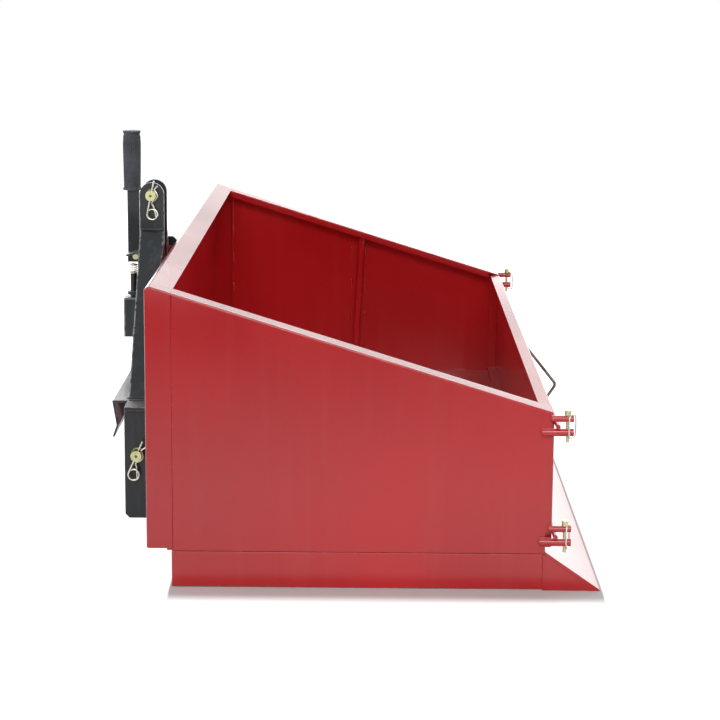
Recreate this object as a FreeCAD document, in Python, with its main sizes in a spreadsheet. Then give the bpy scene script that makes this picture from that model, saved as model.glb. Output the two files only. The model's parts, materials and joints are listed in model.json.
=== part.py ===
import FreeCAD, Part
import os
import re
import Sketcher

# Rear three-point tipping transport box for a small tractor.
# +X points rearward, away from the tractor; +Y is the implement's right side; +Z is up.
# The origin lies on the ground under the middle of the whole implement.
# Drawn lengths along X are counted from the outer face of the box's front wall.

doc = FreeCAD.newDocument("TippingTransportBox")

sizes = {
    # load box
    "boxWidth": 1600, "boxLength": 688.5, "frontHeight": 523.5, "rearHeight": 311.7,
    "floorHeight": 65, "sheet": 3, "frontReturn": 44.5, "frontBend": 8,
    "sideFlange": 50, "sideLip": 15, "sideReturn": 13, "floorLap": 10,
    "rearStep": 9, "rearStepHeight": 104,
    "stiffenerFoot": 335, "stiffenerHead": 352, "stiffenerWidth": 15, "stiffenerDepth": 25,
    # base under the floor
    "skirtStart": 42.5, "skirtShort": 4, "skirtInset": 3, "skirtFlange": 30,
    "ribWidth": 40, "ribDepth": 18, "ribStart": 60, "ribSpacing": 560,
    "pivotBeamStart": 470, "pivotBeamLength": 40, "pivotBeamDepth": 40,
    # scraper lip
    "lipSetback": 8.5, "lipLength": 95, "lipEdge": 2, "lipPlate": 5, "lipBevel": 8,
    # tailgate
    "gateProud": 2.5, "gateTop": 310, "gateBottom": 74, "gateFlange": 22,
    "gateSideGap": 5, "gateNotch": 8, "trunnionDiameter": 8, "trunnionLength": 126,
    "trunnionTop": 290, "trunnionBottom": 98.5, "trunnionEnd": 16, "weldGap": 0.3,
    "handleDiameter": 6, "handleTop": 290, "handleBottom": 84, "handleApex": 197,
    "handleReach": 74, "handleBend": 8,
    # gate forks and lynch pins
    "lowerProng": 13, "upperProng": 11, "forkBelow": 0.5, "forkAbove": 3, "forkReach": 31,
    "forkRoot": 20, "upperRoot": 4, "lynchDiameter": 6, "lynchLength": 52, "lynchHead": 11,
    "lynchHeadHeight": 9, "lynchInset": 10, "lynchGap": 0.3, "lynchAbove": 24,
    # hitch frame
    "hitchFace": 88, "mastWidth": 49, "mastPlate": 8, "mastGap": 53, "mastFoot": 452,
    "mastHeight": 460, "lowerPinHeight": 127, "hitchPinX": 63.5,
    "hitchPinDiameter": 22, "hitchPinTip": 21, "hitchPinOut": 25, "pinShoulder": 1,
    "hitchPinHead": 30, "hitchPinHeadLength": 8,
    "pinGap": 0.3, "legTop": 516, "legFoot": 271, "legDepth": 30, "legWall": 4,
    "crossTop": 217, "crossPlate": 4, "crossFront": 118, "crossDrop": 168, "crossDropX": 110,
    "crossTail": 145, "crossTailX": 118, "clevisOuter": 353, "clevisPlate": 8, "clevisGap": 46,
    "clevisTop": 209, "clevisRear": 12, "clevisChamfer": 8,
    # tipping pivot
    "pivotX": 430, "pivotHeight": 30, "pivotDiameter": 24, "runningGap": 0.05,
    "armFront": 80, "armBottom": 10, "armDepth": 40, "armWall": 5, "eyeRadius": 22,
    "lugPlate": 8, "lugGap": 5, "lugRadius": 20, "lugLength": 65, "shaftOut": 6,
    # lock lever
    "leverY": 119, "leverX": 117.5, "leverWidth": 25, "leverPlate": 8, "leverPivotX": 113,
    "leverPivotHeight": 441, "leverPivotDiameter": 12, "leverEye": 11, "hookTop": 483,
    "hookBottom": 463, "hookTip": 446, "hookEnd": 26, "hookNose": 9, "gripBottom": 580,
    "gripTop": 703, "gripDiameter": 36, "gripFlare": 39, "gripFlareLength": 5,
    "tangDiameter": 20, "gripReach": 139, "cheekPlate": 4, "cheekGap": 2, "cheekFront": 130,
    "cheekBottom": 429, "cheekFrontTop": 449, "cheekRearTop": 459, "cheekFlange": 38,
    "pivotPinOut": 7, "bridgeTop": 455, "guideWidth": 40, "guideFront": 139,
    "guideBottom": 271, "guideTop": 354, "guideWall": 3, "rodDiameter": 14, "rodX": 119,
    "collarDiameter": 26, "collarBottom": 359, "collarHeight": 7, "springDiameter": 18,
    "springBottom": 404, "springHeight": 20, "braceBottom": 290, "braceTop": 340,
    "bracePlate": 8,
    # lock striker on the front wall
    "strikerX": 46, "strikerHeight": 452, "strikerDiameter": 12, "strikerPlate": 6,
    "strikerSide": 5, "strikerReach": 53, "strikerDepth": 24, "strikerRise": 12,
}

# Places worked out from the sizes above.
places = {
    "lipRoot": "boxLength - lipSetback",
    "lipReach": "lipRoot + lipLength",
    "lipSlope": "(floorHeight + sheet - lipEdge)/lipLength",
    "skirtEnd": "lipRoot - skirtShort",
    "gateOuter": "boxLength + gateProud",
    "wallX": "(gripReach - lipReach)/2",
    "panelOuter": "boxWidth/2",
    "panelInner": "panelOuter - sheet",
    "rimSlope": "(frontHeight - rearHeight)/boxLength",
    "rimSheet": "sheet*sqrt(1 + rimSlope*rimSlope)",
    "floorTop": "floorHeight + sheet",
    "gateHalf": "panelInner - gateSideGap",
    "gateFlangeHalf": "panelOuter - sideFlange - gateSideGap",
    "gateInner": "gateOuter - sheet",
    "trunnionX": "gateOuter + weldGap + trunnionDiameter/2",
    "forkY": "panelOuter + weldGap + lowerProng/2",
    "forkEnd": "gateOuter + forkReach",
    "lynchX": "forkEnd - lynchInset",
    "topPinHeight": "lowerPinHeight + mastHeight",
    "mastRear": "hitchFace - mastWidth",
    "mastHalf": "mastGap/2",
    "mastOuter": "mastHalf + mastPlate",
    "legRun": "legFoot - mastOuter",
    "legDrop": "legTop - crossTop",
    "legSlant": "sqrt(legRun*legRun + legDrop*legDrop)",
    "legCut": "legDepth*legSlant/legRun",
    "legToe": "legDepth*legSlant/legDrop",
    "wallCut": "legWall*legSlant/legRun",
    "wallToe": "legWall*legSlant/legDrop",
    "clevisInner": "clevisOuter - 2*clevisPlate - clevisGap",
    "armInner": "clevisInner + clevisPlate",
    "skirtOuter": "panelOuter - skirtInset",
    "cheekInner": "leverY - leverPlate/2 - cheekGap",
    "cheekOuter": "leverY + leverPlate/2 + cheekGap",
    "strikerInner": "leverY - leverPlate/2 - strikerSide",
    "strikerOuter": "leverY + leverPlate/2 + strikerSide",
}

sheet = doc.addObject("Spreadsheet::Sheet", "Sizes")
for row, (alias, value) in enumerate(sizes.items(), start=1):
    sheet.set(f"A{row}", alias)
    sheet.set(f"B{row}", str(value))
    sheet.setAlias(f"B{row}", alias)
doc.recompute()

nodes = []


def bind(text):
    """Turn words of the size list into an expression that reads the sheet."""
    def word(match):
        name = match.group(0)
        if name in places:
            return "(" + bind(places[name]) + ")"
        return "Sizes." + name if name in sizes else name
    return re.sub(r"[A-Za-z]+", word, str(text))


def rimAt(x):
    """Height of the sloping rim at a distance x behind the front wall's face."""
    return f"(frontHeight - rimSlope*({x}))"


def number(text):
    return float(sheet.evalExpression(bind(text)))


def place(thing, x="wallX", y="0", z="0"):
    for axis, text in (("x", x), ("y", y), ("z", z)):
        thing.setExpression(f"Placement.Base.{axis}", bind(text))
    return thing


def keep(thing, label):
    thing.Label = label
    nodes.append(thing)
    return thing


def newBody(label):
    return keep(place(doc.addObject("PartDesign::Body", label)), label)


def outlineSketch(body, plane, points, offset):
    sketch = body.newObject("Sketcher::SketchObject", "Outline")
    support = next(item for item in body.Origin.OriginFeatures if item.Role == plane)
    sketch.AttachmentSupport = [(support, "")]
    sketch.MapMode = "FlatFace"
    sketch.setExpression("AttachmentOffset.Base.z", bind(offset))
    corners = [FreeCAD.Vector(number(a), number(b), 0) for a, b in points]
    count = len(corners)
    for i, corner in enumerate(corners):
        sketch.addGeometry(Part.LineSegment(corner, corners[(i + 1) % count]), False)
    for i in range(count):
        sketch.addConstraint(Sketcher.Constraint("Coincident", i, 2, (i + 1) % count, 1))
    for i, (a, b) in enumerate(points):
        for kind, text, value in (("DistanceX", a, corners[i].x), ("DistanceY", b, corners[i].y)):
            index = sketch.addConstraint(Sketcher.Constraint(kind, i, 1, value))
            sketch.setExpression(f"Constraints[{index}]", bind(text))
    return sketch


def pad(body, plane, points, length, offset="0", reverse=False, both=False):
    """Pad a closed outline; XZ outlines grow towards -Y, YZ outlines towards +X."""
    feature = body.newObject("PartDesign::Pad", "Pad")
    feature.Profile = outlineSketch(body, plane, points, offset)
    feature.setExpression("Length", bind(length))
    feature.Reversed = reverse
    feature.SideType = "Symmetric" if both else "One side"
    body.Tip = feature
    return feature


def pocket(body, plane, points, length, offset="0", reverse=False):
    doc.recompute()
    before = body.Shape.Volume
    feature = body.newObject("PartDesign::Pocket", "Pocket")
    feature.Profile = outlineSketch(body, plane, points, offset)
    feature.setExpression("Length", bind(length))
    feature.Reversed = reverse
    body.Tip = feature
    doc.recompute()
    if not body.Shape.Volume < before - 1:
        raise RuntimeError(f"pocket in {body.Label} cuts nothing")
    return feature


def sidePad(body, points, side, outer, depth):
    """Pad an XZ outline from the distance outer towards the middle plane by depth."""
    return pad(body, "XZ_Plane", points, depth, f"{-side}*({outer})", reverse=side < 0)


def block(label, low, high, shift="wallX"):
    """Rectangular block between two corners."""
    box = doc.addObject("Part::Box", label)
    for side, a, b in zip(("Length", "Width", "Height"), low, high):
        box.setExpression(side, bind(f"({b}) - ({a})"))
    return place(box, f"{shift} + ({low[0]})", low[1], low[2])


def rod(label, axis, start, radius, length):
    """Round bar that runs from start along axis X, Y or Z."""
    bar = doc.addObject("Part::Cylinder", label)
    turn = {"X": ((0, 1, 0), 90), "Y": ((1, 0, 0), -90), "Z": ((0, 0, 1), 0)}[axis]
    bar.Placement = FreeCAD.Placement(FreeCAD.Vector(), FreeCAD.Rotation(FreeCAD.Vector(*turn[0]), turn[1]))
    bar.setExpression("Radius", bind(radius))
    bar.setExpression("Height", bind(length))
    return place(bar, f"wallX + ({start[0]})", start[1], start[2])


def fuse(label, *shapes):
    joined = doc.addObject("Part::MultiFuse", label)
    joined.Shapes = list(shapes)
    return joined


def cut(label, base, *tools):
    result = doc.addObject("Part::Cut", label)
    result.Base = base
    result.Tool = tools[0] if len(tools) == 1 else fuse(label + "_tools", *tools)
    return result


def span(side, near, far):
    """Low and high Y of a stretch between two distances from the middle plane."""
    return (near, far) if side > 0 else (f"-({far})", f"-({near})")


def sides():
    return (("left", -1), ("right", 1))


# ---------------------------------------------------------------- load box
def frontWall():
    body = newBody("front_wall")
    rear = "frontReturn"
    under = f"{rimAt(rear)} - rimSheet"
    bend = ("frontBend", rimAt("frontBend"))
    innerBend = ("frontBend + sheet/2", f"{rimAt('frontBend')} - rimSheet")
    section = [("0", "floorTop"), ("0", "frontHeight - frontBend"), bend, (rear, rimAt(rear)), (rear, under),
               innerBend, ("sheet", "frontHeight - frontBend - sheet"), ("sheet", "floorTop + sheet"),
               (rear, "floorTop + sheet"), (rear, "floorTop")]
    cheek = [("0", "floorTop"), ("0", "frontHeight - frontBend"), bend, (rear, rimAt(rear)),
             (rear, "floorTop")]
    pad(body, "XZ_Plane", section, "boxWidth", both=True)
    for _, side in sides():
        sidePad(body, cheek, side, "panelOuter", "sheet")


def sidePanel(name, side):
    body = newBody(f"side_panel_{name}")
    web = [("frontReturn", "floorHeight"), ("boxLength - rearStep", "floorHeight"),
           ("boxLength - rearStep", "rearStepHeight"), ("boxLength", "rearStepHeight"),
           ("boxLength", "rearHeight"), ("frontReturn", rimAt("frontReturn"))]
    flange = [("frontReturn", rimAt("frontReturn")), ("frontReturn", f"{rimAt('frontReturn')} - rimSheet"),
              ("boxLength", "rearHeight - rimSheet"), ("boxLength", "rearHeight")]
    lipEnd = "gateOuter - gateFlange - gateSideGap"
    lip = [("frontReturn", rimAt("frontReturn")), ("frontReturn", f"{rimAt('frontReturn')} - sideLip"),
           (lipEnd, f"{rimAt(lipEnd)} - sideLip"), (lipEnd, rimAt(lipEnd))]
    fold = [("frontReturn", "floorTop"), ("frontReturn + sheet", "floorTop"),
            ("frontReturn + sheet", rimAt("frontReturn + sheet")), ("frontReturn", rimAt("frontReturn"))]
    sidePad(body, web, side, "panelOuter", "sheet")
    sidePad(body, flange, side, "panelOuter", "sideFlange")
    sidePad(body, lip, side, "panelOuter - sideFlange + sheet", "sheet")
    sidePad(body, fold, side, "panelOuter", "sheet + sideReturn")


def sideStiffener(name, side):
    body = newBody(f"side_stiffener_{name}")
    head = "stiffenerHead + stiffenerWidth"
    outline = [("stiffenerFoot", "floorTop"), ("stiffenerFoot + stiffenerWidth", "floorTop"),
               (head, f"{rimAt(head)} - rimSheet"), ("stiffenerHead", f"{rimAt('stiffenerHead')} - rimSheet")]
    sidePad(body, outline, side, "panelInner", "stiffenerDepth")


def floorPanel():
    keep(block("floor_panel", ("frontReturn - floorLap", "-panelInner", "floorHeight"),
               ("lipRoot", "panelInner", "floorTop")), "floor_panel")


def baseSkirt(name, side):
    body = newBody(f"base_skirt_{name}")
    outer = f"{side}*skirtOuter"
    inner = f"{side}*(skirtOuter - sheet)"
    edge = f"{side}*(skirtOuter - skirtFlange)"
    outline = [(outer, "0"), (edge, "0"), (edge, "sheet"), (inner, "sheet"), (inner, "floorHeight - sheet"),
               (edge, "floorHeight - sheet"), (edge, "floorHeight"), (outer, "floorHeight")]
    pad(body, "YZ_Plane", outline, "skirtEnd - skirtStart", "skirtStart")


def channel(label, low, high, along):
    """Folded channel along X or Y, open towards the floor above it."""
    grow = {"X": ("0", "sheet"), "Y": ("sheet", "0")}[along]
    outer = block(label + "_outer", low, high)
    inner = block(label + "_inner",
                  (f"{low[0]} + {grow[0]}", f"{low[1]} + {grow[1]}", f"{low[2]} + sheet"),
                  (f"{high[0]} - {grow[0]}", f"{high[1]} - {grow[1]}", high[2]))
    keep(cut(label, outer, inner), label)


def baseChannels():
    for name, middle in (("left", "-ribSpacing"), ("centre", "0"), ("right", "ribSpacing")):
        channel(f"floor_rib_{name}", ("ribStart", f"{middle} - ribWidth/2", "floorHeight - ribDepth"),
                ("pivotBeamStart", f"{middle} + ribWidth/2", "floorHeight"), "X")
    reach = "skirtOuter - skirtFlange"
    channel("pivot_beam", ("pivotBeamStart", f"-({reach})", "floorHeight - pivotBeamDepth"),
            ("pivotBeamStart + pivotBeamLength", reach, "floorHeight"), "Y")


def scraperLip():
    body = newBody("scraper_lip")
    under = "floorTop - lipPlate*sqrt(1 + lipSlope^2)"
    outline = [("lipRoot", "floorTop"), ("lipReach", "lipEdge"), ("lipReach", "0"),
               ("lipReach - lipBevel", "0"), ("lipRoot", under)]
    pad(body, "XZ_Plane", outline, "boxWidth", both=True)
    cheek = [("skirtEnd", "0"), ("lipReach - lipBevel", "0"), ("lipRoot", under), ("skirtEnd", under)]
    for name, side in sides():
        plate = newBody(f"lip_cheek_{name}")
        sidePad(plate, cheek, side, "panelOuter", "sheet")


# ---------------------------------------------------------------- tailgate
def tailgatePanel():
    body = newBody("tailgate_panel")
    web = [("-gateHalf", "gateBottom"), ("gateHalf", "gateBottom"), ("gateHalf", "gateTop - gateNotch"),
           ("gateFlangeHalf", "gateTop - gateNotch"), ("gateFlangeHalf", "gateTop"),
           ("-gateFlangeHalf", "gateTop"), ("-gateFlangeHalf", "gateTop - gateNotch"),
           ("-gateHalf", "gateTop - gateNotch")]
    pad(body, "YZ_Plane", web, "sheet", "gateInner")


def tailgateEdges():
    """Flat strips that stiffen the edges of the tailgate's sheet, on its inner face."""
    front = "gateOuter - gateFlange"
    inner = "gateHalf - sheet"
    keep(block("tailgate_edge_top", (front, "-gateFlangeHalf", "gateTop - sheet"),
               ("gateInner", "gateFlangeHalf", "gateTop")), "tailgate_edge_top")
    keep(block("tailgate_edge_bottom", (front, f"-({inner})", "gateBottom"),
               ("gateInner", inner, "gateBottom + sheet")), "tailgate_edge_bottom")
    for tag, side in sides():
        low, high = span(side, inner, "gateHalf")
        keep(block(f"tailgate_edge_{tag}", (front, low, "gateBottom"),
                   ("gateInner", high, "gateTop - gateNotch")), f"tailgate_edge_{tag}")


def trunnions(name, height):
    bars = []
    for tag, side in sides():
        low, _ = span(side, "panelOuter + trunnionEnd - trunnionLength", "panelOuter + trunnionEnd")
        bars.append(rod(f"trunnion_{name}_{tag}", "Y", ("trunnionX", low, height), "trunnionDiameter/2",
                        "trunnionLength"))
    keep(fuse(f"gate_trunnions_{name}", *bars), f"gate_trunnions_{name}")


def slantedRod(label, start, end, radius):
    """Round bar in the middle plane between two XZ points."""
    run = f"({end[0]}) - ({start[0]})"
    rise = f"({end[1]}) - ({start[1]})"
    bar = doc.addObject("Part::Cylinder", label)
    bar.Placement = FreeCAD.Placement(FreeCAD.Vector(), FreeCAD.Rotation(FreeCAD.Vector(0, 1, 0), 45))
    bar.setExpression("Placement.Rotation.Angle", bind(f"atan2({run}; {rise})"))
    bar.setExpression("Radius", bind(radius))
    bar.setExpression("Height", bind(f"sqrt(({run})^2 + ({rise})^2)"))
    return place(bar, f"wallX + ({start[0]})", "0", start[1])


def tailgateHandle():
    """Round bar bent to a point, both ends trimmed to the panel's rear face."""
    radius = "handleDiameter/2"
    apex = "gateOuter + handleReach - handleDiameter/2"
    corners = [("gateInner", "handleTop"), (apex, "handleApex + handleBend/2"),
               (apex, "handleApex - handleBend/2"), ("gateInner", "handleBottom")]
    pieces = [slantedRod(f"handle_bar_{i}", start, end, radius)
              for i, (start, end) in enumerate(zip(corners, corners[1:]))]
    for i, (x, z) in enumerate(corners[1:3]):
        knuckle = doc.addObject("Part::Sphere", f"handle_knuckle_{i}")
        knuckle.setExpression("Radius", bind(radius))
        pieces.append(place(knuckle, f"wallX + {x}", "0", z))
    margin = "2*handleDiameter"
    trim = block("handle_trim", (f"gateInner - {margin}", f"-{margin}", f"handleBottom - {margin}"),
                 ("gateOuter + weldGap", margin, f"handleTop + {margin}"))
    keep(cut("tailgate_handle", fuse("handle_outline", *pieces), trim), "tailgate_handle")


def gateFork(row, height, name, side):
    """Two round prongs on the side panel's outer face, with a cross hole for the lynch pin."""
    lowR, upR = "lowerProng/2", "upperProng/2"
    lowZ = f"{height} - trunnionDiameter/2 - forkBelow - {lowR}"
    upZ = f"{height} + trunnionDiameter/2 + forkAbove + {upR}"
    middle = f"{side}*forkY"
    label = f"gate_fork_{row}_{name}"
    lower = rod(label + "_lower", "X", ("boxLength - forkRoot", middle, lowZ), lowR,
                "forkEnd - boxLength + forkRoot")
    upper = rod(label + "_upper", "X", ("boxLength - upperRoot", middle, upZ), upR,
                "forkEnd - boxLength + upperRoot")
    hole = rod(label + "_hole", "Z", ("lynchX", middle, f"{lowZ} - lowerProng"),
               "lynchDiameter/2 + lynchGap", f"({upZ}) - ({lowZ}) + 2*lowerProng")
    keep(cut(label, fuse(label + "_prongs", lower, upper), hole), label)
    pin = f"lynch_pin_{row}_{name}"
    top = f"({height}) + lynchAbove"
    shaft = rod(pin + "_shaft", "Z", ("lynchX", middle, f"{top} - lynchLength"), "lynchDiameter/2",
                "lynchLength")
    head = rod(pin + "_head", "Z", ("lynchX", middle, f"{upZ} + {upR} + lynchGap"), "lynchHead/2",
               "lynchHeadHeight")
    keep(fuse(pin, shaft, head), pin)


# ---------------------------------------------------------------- hitch frame
def mastPlate(name, side):
    label = f"mast_plate_{name}"
    low, high = span(side, "mastHalf", "mastOuter")
    plate = block(label + "_web", ("-hitchFace", low, "mastFoot"), ("-mastRear", high, "topPinHeight"))
    arch = rod(label + "_arch", "Y", ("-(hitchFace + mastRear)/2", low, "topPinHeight"), "mastWidth/2",
               "mastPlate")
    bore = rod(label + "_bore", "Y", ("-hitchPinX", f"{low} - mastPlate", "topPinHeight"),
               "hitchPinDiameter/2 + pinGap", "3*mastPlate")
    keep(cut(label, fuse(label + "_outline", plate, arch), bore), label)


def mastLeg(name, side):
    """Slanting square tube from a mast plate down to the cross plate."""
    body = newBody(f"mast_leg_{name}")
    outer = [("mastOuter", "legTop"), ("legFoot", "crossTop"), ("legFoot - legToe", "crossTop"),
             ("mastOuter", "legTop - legCut")]
    inner = [("mastOuter + legWall", "legTop - wallCut - legWall*legDrop/legRun"),
             ("legFoot - wallToe - legWall*legRun/legDrop", "crossTop + legWall"),
             ("legFoot - legToe + wallToe - legWall*legRun/legDrop", "crossTop + legWall"),
             ("mastOuter + legWall", "legTop - legCut + wallCut - legWall*legDrop/legRun")]
    mirrored = [[(f"{side}*({a})", b) for a, b in outline] for outline in (outer, inner)]
    pad(body, "YZ_Plane", mirrored[0], "mastWidth", "-hitchFace")
    pocket(body, "YZ_Plane", mirrored[1], "mastWidth - 2*legWall", "-hitchFace + legWall", reverse=True)


def crossPlate():
    """Folded plate between the inner clevis plates: top, front drop and flared tail."""
    body = newBody("cross_plate")
    t = "crossPlate"
    outline = [("-mastRear", "crossTop"), ("-crossFront", "crossTop"), ("-crossDropX", "crossDrop"),
               ("-crossTailX", "crossTail"), (f"-crossTailX + {t}", "crossTail"),
               (f"-crossDropX + {t}", "crossDrop"), (f"-crossFront + {t}*1.2", f"crossTop - {t}"),
               ("-mastRear", f"crossTop - {t}")]
    pad(body, "XZ_Plane", outline, "2*clevisInner", both=True)


def clevis(name, side):
    label = f"clevis_plates_{name}"
    outline = [("-hitchFace + clevisChamfer", "0"), ("-clevisRear", "0"), ("-clevisRear", "clevisTop"),
               ("-hitchFace", "clevisTop"), ("-hitchFace", "clevisChamfer")]
    plates = []
    for tag, outer in (("inner", "clevisInner + clevisPlate"), ("outer", "clevisOuter")):
        body = place(doc.addObject("PartDesign::Body", f"{label}_{tag}"))
        sidePad(body, outline, side, outer, "clevisPlate")
        plates.append(body)
    low, _ = span(side, "clevisInner - clevisPlate", "clevisOuter + clevisPlate")
    bore = rod(label + "_bore", "Y", ("-hitchPinX", low, "lowerPinHeight"), "hitchPinDiameter/2 + pinGap",
               "clevisOuter - clevisInner + 2*clevisPlate")
    keep(cut(label, fuse(label + "_pair", *plates), bore), label)
    low, high = span(side, "clevisInner", "clevisOuter")
    keep(block(f"clevis_cap_{name}", ("-hitchFace", low, "clevisTop"), ("-clevisRear", high, "crossTop")),
         f"clevis_cap_{name}")


def hitchPin(label, low, length, height, headSide):
    """Hitch pin along Y with a round head at one end and a turned-down free end at the other."""
    tip = "hitchPinOut - pinShoulder"
    head, tipLow, shaftLow = f"{low} + {length}", low, f"{low} + {tip}"
    if headSide < 0:
        head, tipLow, shaftLow = f"{low} - hitchPinHeadLength", f"{low} + {length} - ({tip})", low
    shaft = rod(label + "_shaft", "Y", ("-hitchPinX", shaftLow, height), "hitchPinDiameter/2",
                f"{length} - ({tip})")
    end = rod(label + "_end", "Y", ("-hitchPinX", tipLow, height), "hitchPinTip/2", tip)
    collar = rod(label + "_head", "Y", ("-hitchPinX", head, height), "hitchPinHead/2", "hitchPinHeadLength")
    keep(fuse(label, shaft, end, collar), label)


def hitchPins():
    topLength = "2*mastOuter + hitchPinOut + pinGap"
    hitchPin("top_link_pin", "-mastOuter - hitchPinOut", topLength, "topPinHeight", 1)
    length = "clevisOuter - clevisInner + hitchPinOut + pinGap"
    hitchPin("lower_link_pin_left", "-clevisOuter - hitchPinOut", length, "lowerPinHeight", 1)
    hitchPin("lower_link_pin_right", "clevisInner - pinGap", length, "lowerPinHeight", -1)


def tippingArm(name, side):
    """Channel open underneath, with a round eye for the pivot shaft at its rear end."""
    label = f"tipping_arm_{name}"
    low, high = span(side, "armInner", "armInner + clevisGap")
    top = "armBottom + armDepth"
    outer = block(label + "_outer", ("-armFront", low, "armBottom"), ("pivotX", high, top))
    hollow = block(label + "_hollow", ("-armFront", f"{low} + armWall", "armBottom"),
                   ("pivotX - eyeRadius - armWall", f"{high} - armWall", f"{top} - armWall"))
    eye = rod(label + "_eye", "Y", ("pivotX", low, "pivotHeight"), "eyeRadius", "clevisGap")
    bore = rod(label + "_bore", "Y", ("pivotX", f"{low} - clevisPlate", "pivotHeight"),
               "pivotDiameter/2 + runningGap", "clevisGap + 2*clevisPlate")
    keep(cut(label, fuse(label + "_outline", outer, eye), hollow, bore), label)


def pivotShaft():
    reach = "armInner + clevisGap + lugGap + lugPlate + shaftOut"
    keep(rod("pivot_shaft", "Y", ("pivotX", f"-({reach})", "pivotHeight"), "pivotDiameter/2", f"2*({reach})"),
         "pivot_shaft")


def pivotLugs(name, side):
    label = f"pivot_lugs_{name}"
    lugs = []
    for tag, near in (("inner", "armInner - lugGap - lugPlate"), ("outer", "armInner + clevisGap + lugGap")):
        low, high = span(side, near, f"{near} + lugPlate")
        plate = block(f"{label}_{tag}_plate", ("pivotX - lugRadius", low, "pivotHeight"),
                      ("pivotBeamStart", high, "floorHeight"))
        round_ = rod(f"{label}_{tag}_round", "Y", ("pivotX", low, "pivotHeight"), "lugRadius", "lugPlate")
        bore = rod(f"{label}_{tag}_bore", "Y", ("pivotX", f"{low} - lugPlate", "pivotHeight"),
                   "pivotDiameter/2 + runningGap", "3*lugPlate")
        lugs.append(cut(f"{label}_{tag}", fuse(f"{label}_{tag}_outline", plate, round_), bore))
    keep(fuse(label, *lugs), label)


# ---------------------------------------------------------------- lock lever
def lockLever():
    """Flat lever with an eye at its pivot and a hook that reaches over the striker bar."""
    side = "leverPlate/2"
    body = place(doc.addObject("PartDesign::Body", "lock_lever_plate"))
    front = "-leverX - leverWidth/2"
    back = "-leverX + leverWidth/2"
    nose = "-hookEnd - hookNose"
    outline = [(front, "leverPivotHeight"), (back, "leverPivotHeight"), (back, "hookBottom"),
               (nose, "hookBottom"), (nose, "hookTip"), ("-hookEnd", "hookTip"),
               ("-hookEnd", "hookTop - hookNose"), (nose, "hookTop"),
               (back, "hookTop"), (back, "gripBottom"), (front, "gripBottom")]
    pad(body, "XZ_Plane", outline, "leverPlate", "-leverY", both=True)
    eye = rod("lock_lever_eye", "Y", ("-leverPivotX", f"leverY - {side}", "leverPivotHeight"), "leverEye",
              "leverPlate")
    tang = rod("lock_lever_tang", "Z", ("-leverX - 2", "leverY", "gripBottom"), "tangDiameter/2",
               "gripTop - gripBottom - tangDiameter/2")
    bore = rod("lock_lever_bore", "Y", ("-leverPivotX", "leverY - leverPlate", "leverPivotHeight"),
               "leverPivotDiameter/2 + runningGap", "2*leverPlate")
    keep(cut("lock_lever", fuse("lock_lever_outline", body, eye, tang), bore), "lock_lever")


def leverGrip():
    x = "-leverX - 2"
    sleeve = rod("lever_grip_sleeve", "Z", (x, "leverY", "gripBottom"), "gripDiameter/2",
                 "gripTop - gripBottom")
    flares = [rod(f"lever_grip_flare_{i}", "Z", (x, "leverY", z), "gripFlare/2", "gripFlareLength")
              for i, z in enumerate(("gripBottom", "gripTop - gripFlareLength"))]
    tang = rod("lever_grip_bore", "Z", (x, "leverY", "gripBottom"), "tangDiameter/2 + runningGap",
               "gripTop - gripBottom - tangDiameter/2")
    keep(cut("lever_grip", fuse("lever_grip_outline", sleeve, *flares), tang), "lever_grip")


def leverBracket():
    """Two cheeks beside the lever, a bridge behind it and a sloping flange back to the mast leg."""
    body = place(doc.addObject("PartDesign::Body", "lever_bracket_plates"))
    cheek = [("-cheekFront", "cheekBottom"), ("-hitchFace", "cheekBottom"), ("-hitchFace", "cheekRearTop"),
             ("-cheekFront", "cheekFrontTop")]
    flange = [("-cheekFront", "cheekFrontTop"), ("-cheekFront", "cheekFrontTop - cheekPlate"),
              ("-hitchFace", "cheekRearTop - cheekPlate"), ("-hitchFace", "cheekRearTop")]
    bridge = [("-hitchFace - cheekPlate", "cheekBottom"), ("-hitchFace", "cheekBottom"),
              ("-hitchFace", "bridgeTop"), ("-hitchFace - cheekPlate", "bridgeTop")]
    sidePad(body, cheek, 1, "cheekInner", "cheekPlate")
    sidePad(body, flange, 1, "cheekInner", "cheekFlange")
    sidePad(body, bridge, 1, "cheekOuter + cheekPlate", "cheekOuter - cheekInner + 2*cheekPlate")
    sidePad(body, cheek, 1, "cheekOuter + cheekPlate", "cheekPlate")
    bore = rod("lever_bracket_bore", "Y", ("-leverPivotX", "cheekInner - 2*cheekPlate", "leverPivotHeight"),
               "leverPivotDiameter/2 + runningGap", "cheekOuter - cheekInner + 4*cheekPlate")
    keep(cut("lever_bracket", body, bore), "lever_bracket")
    low = "cheekInner - cheekPlate - pivotPinOut"
    keep(rod("lever_pivot_pin", "Y", ("-leverPivotX", low, "leverPivotHeight"), "leverPivotDiameter/2",
             "cheekOuter - cheekInner + 2*cheekPlate + 2*pivotPinOut"), "lever_pivot_pin")


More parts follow.
